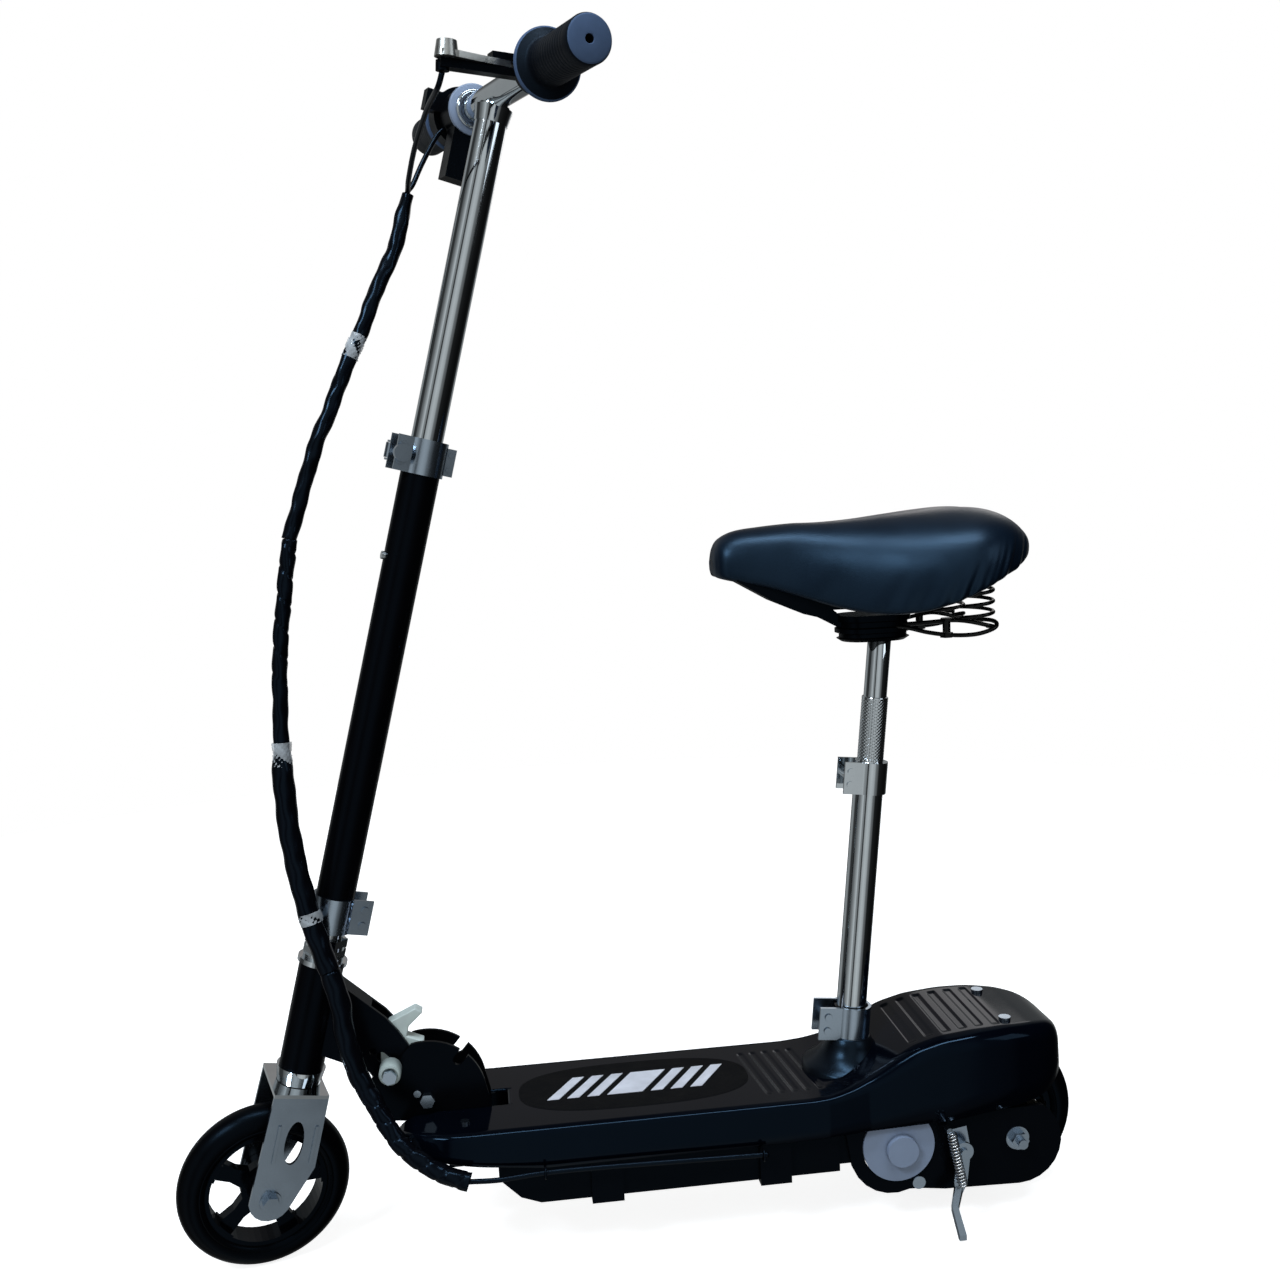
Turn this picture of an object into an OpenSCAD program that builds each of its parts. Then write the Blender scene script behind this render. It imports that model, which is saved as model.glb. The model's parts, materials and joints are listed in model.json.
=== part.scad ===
// Folding electric kick scooter with a sprung saddle.
// Origin on the floor under the middle of the scooter: -X is the front, +Z is up,
// -Y is the rider's left. The steering rests turned a little to the left.

/* [Wheels] */
// Outer diameter of both tyres
wheel_d = 140; // [130:1:150]
// Distance between the two axles
wheelbase = 627; // [610:1:650]
// Width of a tyre
tyre_w = 28; // [22:1:30]

/* [Steering] */
// Lean of the steering axis from upright, in degrees
rake = 14.8; // [12:0.1:18]
// Rest angle of the steering, in degrees
steer = 17.5; // [0:0.5:20]
// How far the steering axis passes behind the front axle
trail_offset = 10.6; // [6:0.1:14]
// Height of the handlebar above the front axle, along the steering axis
bar_height = 892; // [860:1:900]
// Half the length of the handlebar
bar_half = 193; // [180:1:210]

/* [Deck] */
// Half the width of the deck cover
deck_half = 65.5; // [60:0.5:70]
// Height of the deck's top face
deck_z = 122.5; // [115:0.5:130]
// Wall of the moulded deck cover
cover_wall = 3; // [2:0.5:4]

/* [Seat] */
// Lean of the seat post from upright, in degrees
seat_lean = 5.8; // [4:0.1:8]
// Length of the lower seat tube, less the part inside the socket
seat_tube_len = 248; // [240:1:260]

/* [Hidden] */
$fn = 48;
eps = 0.01;

front_x = -wheelbase / 2 - 0.5;
rear_x = wheelbase / 2 - 0.5;
axle_z = wheel_d / 2;
steer_x = front_x + trail_offset / cos(rake);
axle_drop = trail_offset * tan(rake);
axle_r = 4;

// Heights along the steering axis, from the height of the front axle
crown_z = 88;
head_bottom = 101;
head_top = 190;
steerer_top = 300;
lower_clamp = [218, 247];
upper_clamp = [594, 622];
clamp_lever = [-21, 608];
lever_pin_y = 20.5;
stem_bottom = 222;
head_r = 18;
steerer_r = 12.7;
stem_r = 15.6;
stem_wall = 1.6;
inner_r = 12.7;
fork_half = 29;
fork_t = 3;

// Folding joint
pivot = [-176, 134];
plate_y = 11;
plate_t = 3;
sector_r = 49;
lock_r = 41;
lock_angle = 133;
fold_notch_angle = 49;
lock_pin_r = 4;
// The fold stops where the stem meets the saddle; the lock pin lifts as it folds
fold_travel = 24;
lock_lift = 9.5;

// Rear end
plate_in = 52;
motor_plate_t = 4;
plate_out = plate_in + motor_plate_t;
motor_x = 210;
motor_z = 74;
motor_r = 30.5;
sprocket_r = 45.5;
pinion_r = 10.5;
chain_y = 30;
drum_r = 30;

// Seat, along its own leaning axis
seat_x = 188.6;
seat_z = 180;
seat_r = 12.7;
socket_r = 14.3;
charge_r = 5.5;
post_r = 11.1;
post_top = 330;

// Handlebar fittings, measured along the bar
grip_inner = 112;
grip_r = 16.5;
flange_r = 25;
bar_r = 11;
lever_pivot = [-26, -95];
lever_tilt = 11;

saddle_pivot = [140, 540];
stand_pivot = [262, -69, 69];

// Side outline of the deck cover's top, from the nose to the tail
cover_top = [
    [-202, 106], [-198, 116], [-188, 121], [-172, deck_z], [138, deck_z], [154, 123.5], [172, 127],
    [187, 132.5], [198, 139], [210, 147.5], [227, 155.5], [250, 161.5], [281, 164.5], [307, 165],
    [333, 163], [350, 159.5], [361, 153], [367, 142]
];
// Lower edge of the cover, from the tail back to the nose
cover_bottom = [
    [367, 126], [360, 114], [345, 104], [320, 99.5], [288, 97], [256, 93], [170, 92], [120, 90],
    [-84, 90], [-135, 96], [-170, 102], [-196, 104]
];
// Half of the cover's plan, from the nose to the tail
cover_plan = [
    [-202, 0], [-202, 30], [-196, 42], [-182, 54], [-160, 62], [-130, deck_half],
    [150, deck_half], [180, 62.5], [230, 62], [280, 61.5], [305, 58], [325, 54], [342, 46],
    [355, 34], [363, 20], [367, 0]
];

// Routes of the harness and of the thin cable, chosen by hand
harness_route = [
    [-149, 45, 869], [-162, 38, 825], [-176, 30, 796], [-191, 25, 761], [-206, 20, 730],
    [-219, 15, 698], [-230, 10, 675], [-246, 5, 629], [-256, 0, 598], [-263, -5, 551],
    [-269, -8, 504], [-272, -12, 441], [-272, -15, 401], [-269, -20, 360], [-261, -25, 313],
    [-253, -29, 281], [-245, -32, 256], [-239, -34, 231], [-236, -36, 205], [-230, -38, 178],
    [-221, -42, 157], [-210, -50, 139], [-197, -60, 120], [-182, -66, 108], [-166, -71, 98],
    [-144, -74, 90]
];
harness_thick_from = 12;
deck_route = [[-142, -74, 90], [-120, -72, 88], [-84, -70, 89], [-30, -70, 88.5], [97, -70, 85]];
// Thin cables on the bar, in the steering assembly's own axes
brake_route = [
    [-66.9, -95, 868], [-66.2, -88, 859], [-62, -50, 852], [-54, 0, 836], [-46, 36, 820],
    [-41, 54, 814.8]
];
throttle_route = [[-14.4, 84, 876], [-20, 82, 868], [-29, 74, 842], [-35, 66, 822], [-38.5, 63, 815]];
harness_r = [6, 8.5];
thin_cable_r = 2.2;

// ---------- shared shapes ----------

// Places its children in the steering assembly's own axes
module on_steering() {
    translate([steer_x, 0, axle_z])
        rotate([0, rake, 0])
            rotate([0, 0, steer])
                children();
}

// Places its children on the straight-ahead steering axis, as the frame holds it
module on_head_axis() {
    translate([steer_x, 0, axle_z])
        rotate([0, rake, 0])
            children();
}

// Places its children on the seat post's leaning axis, from the seat socket's top
module on_seat_axis() {
    translate([seat_x, 0, seat_z])
        rotate([0, seat_lean, 0])
            children();
}

module tube(r, wall, z0, z1) {
    translate([0, 0, z0])
        difference() {
            cylinder(r = r, h = z1 - z0);
            translate([0, 0, -1])
                cylinder(r = r - wall, h = z1 - z0 + 2);
        }
}

// A rod or disc along Y, from y0 to y1
module rod_y(r, y0, y1, sides = 48) {
    translate([0, y0, 0])
        rotate([-90, 0, 0])
            cylinder(r = r, h = y1 - y0, $fn = sides);
}

// A plate outlined in X and Z, standing between y0 and y1
module plate_y(y0, y1) {
    translate([0, y1, 0])
        rotate([90, 0, 0])
            linear_extrude(y1 - y0)
                children();
}

module box_at(low, high) {
    translate(low)
        cube(high - low);
}

// A split strap clamp round the Z axis, with its two ears towards -X
module strap_clamp(r, t, z0, z1, ear) {
    difference() {
        union() {
            translate([0, 0, z0])
                cylinder(r = r + t, h = z1 - z0);
            for (side = [-1, 1])
                box_at([-r - ear, side > 0 ? 10 : -10 - t, z0], [0, side > 0 ? 10 + t : -10, z1]);
        }
        translate([0, 0, z0 - 1])
            cylinder(r = r + 0.02, h = z1 - z0 + 2);
        box_at([-r - ear - 1, -10, z0 - 1], [0, 10, z1 + 1]);
    }
    // Two rivets through each ear
    for (z = [z0 + 8, z1 - 8], side = [-1, 1])
        translate([-r - ear * 0.55, 0, z])
            rod_y(3, side > 0 ? 10 + t - 1 : -11.6 - t, side > 0 ? 11.6 + t : -9 - t, 20);
}

// Cross-bolt that pulls the two ears of a strap clamp together
module clamp_bolt(x, t, z) {
    translate([x, 0, z])
        rod_y(2.5, -10 - t, 10 + t, 16);
}

module hex_head_y(r, y0, y1) {
    translate([0, y0, 0])
        rotate([-90, 0, 0])
            cylinder(r = r, h = y1 - y0, $fn = 6);
}

// Ring of points round a route's point, square to the route
function unit(v) = v / norm(v);
function route_dir(route, i) =
    unit(route[min(i + 1, len(route) - 1)] - route[max(i - 1, 0)]);
function route_side(route, i) = unit(cross(route_dir(route, i), [0.3, 1, 0.1]));
function route_ring(route, i, r, sides) = [
    for (k = [0:sides - 1])
        let (a = 360 * k / sides, d = route_dir(route, i), s = route_side(route, i))
            route[i] + r * (cos(a) * s + sin(a) * cross(d, s))
];
module route_tube(route, r, sides = 8) {
    n = len(route);
    points = [for (i = [0:n - 1]) each route_ring(route, i, r, sides)];
    walls = [
        for (i = [0:n - 2], k = [0:sides - 1])
            let (a = i * sides + k, b = i * sides + (k + 1) % sides)
                each [[a, b, b + sides], [a, b + sides, a + sides]]
    ];
    ends = [
        [for (k = [0:sides - 1]) sides - 1 - k],
        [for (k = [0:sides - 1]) (n - 1) * sides + k]
    ];
    faces = [for (f = concat(walls, ends)) [for (i = [len(f) - 1:-1:0]) f[i]]];
    polyhedron(points = points, faces = faces);
}

// Wheel parts, about the Y axis through the origin
module tyre_ring(r, w) {
    rotate([90, 0, 0])
        rotate_extrude($fn = 72)
            translate([r - 21, 0])
                polygon([
                    [0, -w / 2 + 2], [8, -w / 2], [14, -w / 2 + 2], [18.5, -w / 2 + 6], [21, -4],
                    [21, 4], [18.5, w / 2 - 6], [14, w / 2 - 2], [8, w / 2], [0, w / 2 - 2]
                ]);
}

module spoked_rim(r, w, hub_r, hub_half, bore_r) {
    difference() {
        union() {
            rod_y(r, -w / 2, w / 2, 72);
            rod_y(hub_r, -hub_half, hub_half);
        }
        for (side = [-1, 1])
            rotate([90, 0, 0])
                translate([0, 0, side * (w / 2)])
                    rotate_extrude($fn = 72)
                        translate([hub_r + 3, -6])
                            square([r - hub_r - 8, 12]);
        for (k = [0:4])
            rotate([0, 72 * k + 18, 0])
                plate_y(-w, w)
                    polygon([
                        for (a = [-26:6.5:26]) 45.5 * [cos(a), sin(a)],
                        30 * [cos(25), sin(25)],
                        for (a = [14:-14:-14]) 20 * [cos(a), sin(a)],
                        30 * [cos(25), -sin(25)]
                    ]);
        rod_y(bore_r, -hub_half - 1, hub_half + 1);
    }
}

// ---------- deck and frame ----------

// Two box tubes along the deck
module deck_rails() {
    color("#151515")
        for (y = [-plate_in + 7.5, plate_in - 7.5])
            difference() {
                box_at([-160, y - 7.5, 92], [176, y + 7.5, 116]);
                box_at([-161, y - 5.5, 94], [177, y + 5.5, 114]);
            }
}

// Front and rear members across the rails, and the socket the seat tube stands in
module cross_members() {
    color("#151515") {
        box_at([-160, -37, 96], [-140, 37, 112]);
        difference() {
            box_at([158, -52, 106.5], [204, 52, 118]);
            box_at([157, -53, 106], [177, -36.5, 119]);
            box_at([157, 36.5, 106], [177, 53, 119]);
            on_seat_axis()
                translate([0, 0, -120])
                    cylinder(r = seat_r + 0.05, h = 140);
        }
        on_seat_axis()
            tube(socket_r, socket_r - seat_r - 0.05, -64, -5);
    }
}

// Cut for the lock pin at an angle round the fold pivot, `lift` above its seat
module lock_notch(angle, lift) {
    translate([pivot.x, 0, pivot.y])
        rotate([0, -angle, 0])
            translate([lock_r + lift, 0, 0]) {
                box_at([0, -40, -lock_pin_r - 0.4], [30, 40, lock_pin_r + 0.4]);
                rod_y(lock_pin_r + 0.4, -40, 40, 24);
            }
}

// Quarter-turn sector plate of the folding joint, with its two lock notches
module fold_plate(side) {
    y0 = side > 0 ? plate_y : -plate_y - plate_t;
    y1 = y0 + plate_t;
    difference() {
        plate_y(y0, y1)
            polygon(concat(
                [for (a = [8:6:158]) pivot + sector_r * [cos(a), sin(a)]],
                [[-214, 132], [-206, 118], [-152, 112], [-124, 112], [-124, 126]]
            ));
        for (a = [lock_angle, fold_notch_angle])
            lock_notch(a, 0);
        // Run-out that the pin climbs as the neck folds
        for (turn = [2:2:fold_travel + 2])
            lock_notch(lock_angle - turn, turn * lock_lift / fold_travel);
        translate([pivot.x, 0, pivot.y])
            rod_y(5, -40, 40);
    }
    // Foot of the plate, on the front cross member
    box_at([-172, side > 0 ? y1 - eps : y0 - 16, 112], [-124, side > 0 ? y1 + 16 : y0 + eps, 115]);
}

module fold_plate_left() { color("#111111") fold_plate(-1); }
module fold_plate_right() { color("#111111") fold_plate(1); }

// Pivot bolt of the folding joint, and the screws of the cover and the motor
module frame_bolts() {
    color("silver") {
        translate([pivot.x, 0, pivot.y]) {
            rod_y(4.97, -plate_y - plate_t - 1, plate_y + plate_t + 9);
            hex_head_y(6.2, -plate_y - plate_t - 6, -plate_y - plate_t);
            hex_head_y(6.2, plate_y + plate_t, plate_y + plate_t + 7);
        }
        translate([-146, -40, deck_z])
            cylinder(r = 3.6, h = 2, $fn = 24);
        for (y = [-34, 30])
            translate([312, y, 165])
                cylinder(r = 5, h = 2.4, $fn = 24);
        translate([226, 0, 41])
            rod_y(5.5, -plate_out - 4, -plate_out, 24);
        translate([-184, 0, 140])
            rod_y(3, -17, -14, 16);
    }
}

// Side plate that carries the motor and the rear axle
module motor_plate(side) {
    y0 = side > 0 ? plate_in : -plate_in - motor_plate_t;
    difference() {
        plate_y(y0, y0 + motor_plate_t)
            polygon(concat(
                [for (a = [55:-14.5:-90]) [rear_x + 2, axle_z - 4] + 37 * [cos(a), sin(a)]],
                [[250, 31], [228, 34]],
                [for (a = [-70:-15:-170]) [motor_x - 4, motor_z - 2] + [38 * cos(a), 40 * sin(a)]],
                [[165, 92], [163, 112], [186, 114], [250, 108], [286, 104], [294, 96.5]]
            ));
        translate([rear_x, 0, axle_z])
            rod_y(axle_r + 0.03, -80, 80);
        if (side < 0)
            translate([motor_x, 0, motor_z])
                rod_y(motor_r + 0.4, -80, 80, 72);
    }
}

module motor_plate_left() { color("#121212") motor_plate(-1); }
module motor_plate_right() { color("#121212") motor_plate(1); }

module seat_base_clamp() {
    color("silver")
        on_seat_axis() {
            strap_clamp(socket_r, 2.6, -31, -3, 16);
            clamp_bolt(-21, 2.6, -17);
        }
}

// Moulded cone where the seat socket comes up through the deck
module seat_boot() {
    color("#0d0d0f")
        difference() {
            on_seat_axis()
                rotate_extrude()
                    polygon([[15, -33], [19, -33], [23, -39], [35, -49], [36, -56], [15, -56]]);
            cover_form(0);
        }
}

// Solid outline of the cover, drawn in by `inset` on every side
module cover_form(inset) {
    top = [for (p = cover_top) [p.x * (1 - inset / 400), p.y - inset]];
    bottom = [for (p = cover_bottom) [p.x * (1 - inset / 400), p.y - (inset > 0 ? 12 : 0)]];
    plan = [for (p = cover_plan) [p.x * (1 - inset / 300), max(p.y - inset, 0)]];
    mirrored = [for (i = [len(plan) - 2:-1:1]) [plan[i].x, -plan[i].y]];
    intersection() {
        plate_y(-80, 80)
            polygon(concat(top, bottom));
        linear_extrude(200)
            polygon(concat(plan, mirrored));
    }
}

module deck_cover() {
    color("#0a0a0c")
        difference() {
            cover_form(0);
            cover_form(cover_wall);
            // Round the folding plates and the seat socket
            box_at([-232, -plate_y - plate_t - 0.6, 90], [-110, plate_y + plate_t + 0.6, 140]);
            on_seat_axis()
                translate([0, 0, -90])
                    cylinder(r = 15, h = 90);
            // Cut-out in the tail for the tyre
            box_at([330, -17.5, 80], [380, 17.5, 127]);
        }
}

// Tray with a sloped front end and a narrow tail between the motor plates
module battery_tray() {
    color("#131315")
        difference() {
            union() {
                plate_y(-55, 55)
                    polygon([[-121, 91.8], [-121, 79], [-104, 62], [-88, 56], [160, 56], [160, 91.8]]);
                box_at([159, -51, 60], [174, 51, 91.8]);
            }
            plate_y(-52, 52)
                polygon([[-118, 100], [-118, 80.5], [-102.5, 64.5], [-87, 58.5], [157, 58.5], [157, 100]]);
        }
}

module tray_straps() {
    color("#101010")
        for (x = [-34, 105])
            difference() {
                box_at([x - 13, -60, 53], [x + 13, 60, 91.8]);
                box_at([x - 14, -55.05, 55.95], [x + 14, 55.05, 100]);
            }
}

module batteries() {
    color("#3a3a3a")
        for (x = [-84, 37])
            box_at([x, -33.5, 58.5], [x + 118, 33.5, 116]);
}

module controller() {
    color("#8a8d90")
        box_at([-60, 35, 58.5], [20, 50, 88]);
}

module charge_port() {
    color("#222222")
        translate([140, 0, 74])
            difference() {
                rod_y(9, 55, 61);
                rod_y(charge_r, 54, 62);
            }
}

module motor_body() {
    color("#2b2b2e")
        translate([motor_x, 0, motor_z])
            rod_y(motor_r, -plate_in + 3, 22, 72);
}

module motor_end_cap() {
    color("#a9aab2")
        translate([motor_x, 0, motor_z]) {
            rod_y(motor_r, -plate_in - 6, -plate_in + 3, 72);
            translate([2, 0, -3])
                rod_y(13, -plate_in - 12, -plate_in - 6);
        }
}

module rear_axle() {
    color("silver")
        translate([rear_x, 0, axle_z]) {
            rod_y(axle_r, -plate_out - 14, plate_out + 14);
            for (side = [-1, 1])
                mirror([0, side > 0 ? 0 : 1, 0]) {
                    hex_head_y(7.5, plate_out + 1.5, plate_out + 8.5);
                    rod_y(10, plate_out, plate_out + 1.5);
                    // Spacer between the wheel and the side plate
                    rod_y(6.5, side > 0 ? 34.5 : 38.5, plate_in, 32);
                }
        }
}

module brake_band() {
    color("#4a4a4c")
        translate([rear_x, 0, axle_z])
            difference() {
                rod_y(drum_r + 2.6, -38, -24, 72);
                rod_y(drum_r + 0.6, -39, -23, 72);
                box_at([-50, -40, -5], [0, -20, 5]);
            }
    // Anchor of the band and pivot pin of its arm, on the left side plate
    color("#4a4a4c")
        translate([rear_x, 0, axle_z]) {
            box_at([-36, -plate_in, 5], [-30, -24, 8]);
            translate([-44, 0, 4])
                rod_y(2.45, -plate_in, -40, 24);
        }
}

// Outline of a chain run round two sprockets, `grow` outside their rims
function chain_outline(grow) =
    let (gap = motor_x - rear_x, rise = motor_z - axle_z, along = atan2(rise, gap),
         lean = acos((sprocket_r - pinion_r) / norm([gap, rise])))
    concat(
        [for (i = [0:20]) [rear_x, axle_z] + (sprocket_r + grow)
            * [cos(along + lean + i * (360 - 2 * lean) / 20), sin(along + lean + i * (360 - 2 * lean) / 20)]],
        [for (i = [0:8]) [motor_x, motor_z] + (pinion_r + grow)
            * [cos(along - lean + i * 2 * lean / 8), sin(along - lean + i * 2 * lean / 8)]]
    );

module drive_chain() {
    color("#6b6660")
        difference() {
            plate_y(chain_y - 3, chain_y + 3)
                polygon(chain_outline(5));
            plate_y(chain_y - 4, chain_y + 4)
                polygon(chain_outline(1));
        }
}

module kickstand_bracket() {
    color("silver") {
        plate_y(-plate_out - 2.5, -plate_out)
            polygon([[255, 84], [268, 86], [272, 62], [262, 52], [254, 60]]);
        translate([stand_pivot.x, 0, stand_pivot.z])
            rod_y(3.1, -72, -plate_out - 2.4, 24);
        translate([stand_pivot.x, 0, stand_pivot.z])
            rod_y(5.5, -66, -plate_out - 2.5);
        // Ring bolt that holds the top of the spring
        translate([250, 0, 88])
            rod_y(2.5, -69, -plate_out, 16);
    }
}

// ---------- cables ----------

// The sleeve is thicker along its lower half
module wiring_harness() {
    last = len(harness_route) - 1;
    color("#0b0b0c") {
        route_tube([for (i = [0:harness_thick_from]) harness_route[i]], harness_r[0]);
        route_tube([for (i = [harness_thick_from:last]) harness_route[i]], harness_r[1]);
    }
}
module deck_cable() { color("#0b0b0c") route_tube(deck_route, thin_cable_r); }

module bar_cables() {
    color("#0b0b0c")
        on_steering() {
            route_tube(brake_route, thin_cable_r);
            route_tube(throttle_route, thin_cable_r);
        }
}

// ---------- rear wheel and drive ----------

module at_rear_axle() { translate([rear_x, 0, axle_z]) children(); }

module rear_tyre() { color("#0c0c0c") at_rear_axle() tyre_ring(axle_z, tyre_w); }

module rear_rim() {
    color("#141414")
        at_rear_axle()
            spoked_rim(axle_z - 21, 22, 15, 20, axle_r + 0.03);
}

module rear_sprocket() {
    color("#77736c")
        at_rear_axle()
            difference() {
                union() {
                    rod_y(sprocket_r, chain_y - 1.5, chain_y + 1.5, 72);
                    rod_y(14, 20, chain_y + 4);
                }
                rod_y(axle_r + 0.05, 19, 40);
            }
}

module brake_drum() {
    color("#8c8c8c")
        at_rear_axle()
            difference() {
                rod_y(drum_r, -38, -20, 72);
                rod_y(drum_r - 4, -39, -24, 72);
                rod_y(axle_r + 0.05, -40, -19);
            }
}

module brake_arm() {
    color("silver")
        translate([rear_x - 44, 0, axle_z + 4])
            plate_y(-44, -41)
                difference() {
                    polygon([[-6, -6], [6, -6], [5, 10], [3, 34], [-3, 34], [-5, 10]]);
                    circle(r = 2.5, $fn = 24);
                }
}

module motor_pinion() {
    color("#8f8b84")
        translate([motor_x, 0, motor_z]) {
            rod_y(pinion_r, chain_y - 3, chain_y + 3);
            rod_y(4, 22.3, chain_y + 6, 24);
        }
}

module kickstand() {
    color("silver") {
        // Flat cranked leg
        translate([stand_pivot.x, 0, stand_pivot.z])
            difference() {
                union() {
                    rod_y(8, -69.3, -66.3);
                    plate_y(-69.3, -66.3)
                        polygon([[-6, 4], [6, 4], [2, -28], [-2, -36], [-8, -34], [-9, -26]]);
                }
                rod_y(3.15, -80, -60, 24);
            }
        hull() {
            box_at([254, -69.3, 33], [260, -66.3, 40]);
            box_at([248, -78, 22], [253, -75, 27]);
        }
        hull() {
            box_at([248, -78, 22], [253, -75, 27]);
            box_at([251, -86, 1.5], [257, -83, 6]);
        }
    }
}

module kickstand_spring() {
    color("#b8b8b8")
        hull() {
            translate([250, -73, 88])
                sphere(r = 3.5, $fn = 16);
            translate([259, -74, 42])
                sphere(r = 3.5, $fn = 16);
        }
}

// ---------- neck and folding lock ----------

module neck_beam() {
    color("#121212")
        difference() {
            union() {
                // Box beam off the head tube
                plate_y(-10.6, 10.6)
                    polygon([[-250, 240], [-240, 236], [-206, 205], [-196, 192], [-222, 160], [-260, 178]]);
                // Two cheeks down to the pivot
                for (side = [-1, 1])
                    plate_y(side > 0 ? 7.2 : -10.6, side > 0 ? 10.6 : -7.2)
                        polygon(concat(
                            [[-206, 205], [-196, 192]],
                            [for (a = [45:-15:-105]) pivot + 13 * [cos(a), sin(a)]],
                            [[-214, 146], [-222, 160]]
                        ));
            }
            on_head_axis()
                translate([0, 0, 80])
                    cylinder(r = head_r, h = 140);
            translate([pivot.x, 0, pivot.y])
                rod_y(5, -20, 20);
            // Slots that let the lock pin lift out of its notch
            translate([pivot.x, 0, pivot.y])
                rotate([0, -lock_angle, 0]) {
                    box_at([lock_r, -20, -lock_pin_r - 0.2], [lock_r + 11, 20, lock_pin_r + 0.2]);
                    translate([lock_r, 0, 0])
                        rod_y(lock_pin_r + 0.2, -20, 20, 24);
                    translate([lock_r + 11, 0, 0])
                        rod_y(lock_pin_r + 0.2, -20, 20, 24);
                }
            // Room for the hook between the cheeks
            box_at([-224, -7.2, 140], [-180, 7.2, 215]);
            // Lightening hole
            translate([-218, 0, 177])
                rod_y(3, -20, 20, 24);
        }
}

module head_tube() {
    color("#121212")
        on_head_axis()
            tube(head_r, 3, head_bottom, head_top);
}

// Bearing cups, with the two lock nuts on top
module headset_cups() {
    color("silver")
        on_head_axis()
            difference() {
                union() {
                    translate([0, 0, crown_z + 0.5])
                        cylinder(r1 = 18, r2 = 20, h = head_bottom - crown_z - 0.5);
                    translate([0, 0, head_top])
                        cylinder(r = 20, h = 4);
                    translate([0, 0, head_top + 4])
                        cylinder(r = 16.5, h = 3);
                    for (z = [head_top + 7, head_top + 15])
                        translate([0, 0, z])
                            cylinder(r = 17, h = 7, $fn = 6);
                    translate([0, 0, head_top + 13])
                        cylinder(r = 15.5, h = 3);
                }
                translate([0, 0, head_bottom - 20])
                    cylinder(r = steerer_r + 0.05, h = 160);
            }
}

module lock_pin() {
    color("silver")
        translate([pivot.x, 0, pivot.y])
            rotate([0, -lock_angle, 0])
                translate([lock_r, 0, 0]) {
                    rod_y(lock_pin_r, -34, 34);
                    for (side = [-1, 1])
                        rod_y(6, side > 0 ? 32 : -36, side > 0 ? 36 : -32, 6);
                }
}

// White hook that a thumb pulls, and the white sleeves on the pin's ends
module lock_hook() {
    color("#e8efe9") {
        difference() {
            plate_y(-6.6, 6.6)
                polygon([
                    [-213, 160], [-201, 158], [-194, 176], [-178, 180], [-192, 188], [-182, 202],
                    [-184, 206], [-209, 198]
                ]);
            translate([pivot.x, 0, pivot.y])
                rotate([0, -lock_angle, 0])
                    translate([lock_r, 0, 0])
                        rod_y(lock_pin_r + 0.02, -20, 20);
        }
        for (side = [-1, 1])
            translate([pivot.x, 0, pivot.y])
                rotate([0, -lock_angle, 0])
                    translate([lock_r, 0, 0])
                        difference() {
                            rod_y(9, side > 0 ? 14.6 : -31, side > 0 ? 31 : -14.6);
                            rod_y(lock_pin_r + 0.02, -40, 40);
                        }
    }
}

// ---------- fork and stem ----------

module fork_crown() {
    color("#c8ccd0")
        on_steering() {
            difference() {
                box_at([-24, -fork_half, crown_z - fork_t], [20, fork_half, crown_z]);
                translate([0, 0, 60])
                    cylinder(r = steerer_r - 2, h = 60);
            }
            tube(steerer_r, 2, crown_z, steerer_top);
        }
}

// Stamped fork leg with an oval window and two raised ribs
module fork_leg(side) {
    y0 = side > 0 ? fork_half - fork_t : -fork_half;
    outer = side > 0 ? fork_half : -fork_half - 1.2;
    difference() {
        plate_y(y0, y0 + fork_t)
            polygon(concat(
                [[-24, crown_z - fork_t], [20, crown_z - fork_t], [20, 26]],
                [for (a = [-25:-20:-165]) [-trail_offset, -axle_drop] + 17 * [cos(a), sin(a)]],
                [[-26, 28]]
            ));
        translate([-1, 0, 47])
            plate_y(-40, 40)
                polygon([for (a = [0:15:345]) [7.5 * cos(a), 18.5 * sin(a)]]);
        translate([-trail_offset, 0, -axle_drop])
            rod_y(axle_r + 0.03, -60, 60);
    }
    for (x = [-15, 15])
        box_at([x - 1.2, outer, 30], [x + 1.2, outer + 1.2, 62]);
}

module fork_leg_left() { color("#c8ccd0") on_steering() fork_leg(-1); }
module fork_leg_right() { color("#c8ccd0") on_steering() fork_leg(1); }

module at_front_axle() { on_steering() translate([-trail_offset, 0, -axle_drop]) children(); }

module front_axle() {
    color("silver")
        at_front_axle() {
            rod_y(axle_r, -36, 36);
            for (side = [0, 1])
                mirror([0, side, 0]) {
                    rod_y(8.5, fork_half, fork_half + 1.5);
                    hex_head_y(7, fork_half + 1.5, fork_half + 7);
                }
        }
}

module steerer_clamp() {
    color("silver")
        on_steering() {
            rotate([0, 0, 180])
                strap_clamp(stem_r, 2, lower_clamp[0], lower_clamp[1], 14);
            tube(stem_r - stem_wall, stem_r - stem_wall - steerer_r - 0.02, stem_bottom, stem_bottom + 60);
            tube(stem_r, 2.88, lower_clamp[0], stem_bottom);
            rotate([0, 0, 180])
                clamp_bolt(-24, 2, (lower_clamp[0] + lower_clamp[1]) / 2);
        }
}

module stem_tube() {
    color("#0e0e0e")
        on_steering()
            difference() {
                union() {
                    tube(stem_r, stem_wall, stem_bottom, upper_clamp[1]);
                    // Sliding bush inside the tube's top
                    tube(stem_r - stem_wall + eps, 1.28, upper_clamp[0] - 40, upper_clamp[1]);
                }
                translate([-stem_r + 4, 0, 526])
                    rotate([0, -90, 0])
                        cylinder(r = 3.3, h = 8);
            }
}

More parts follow.
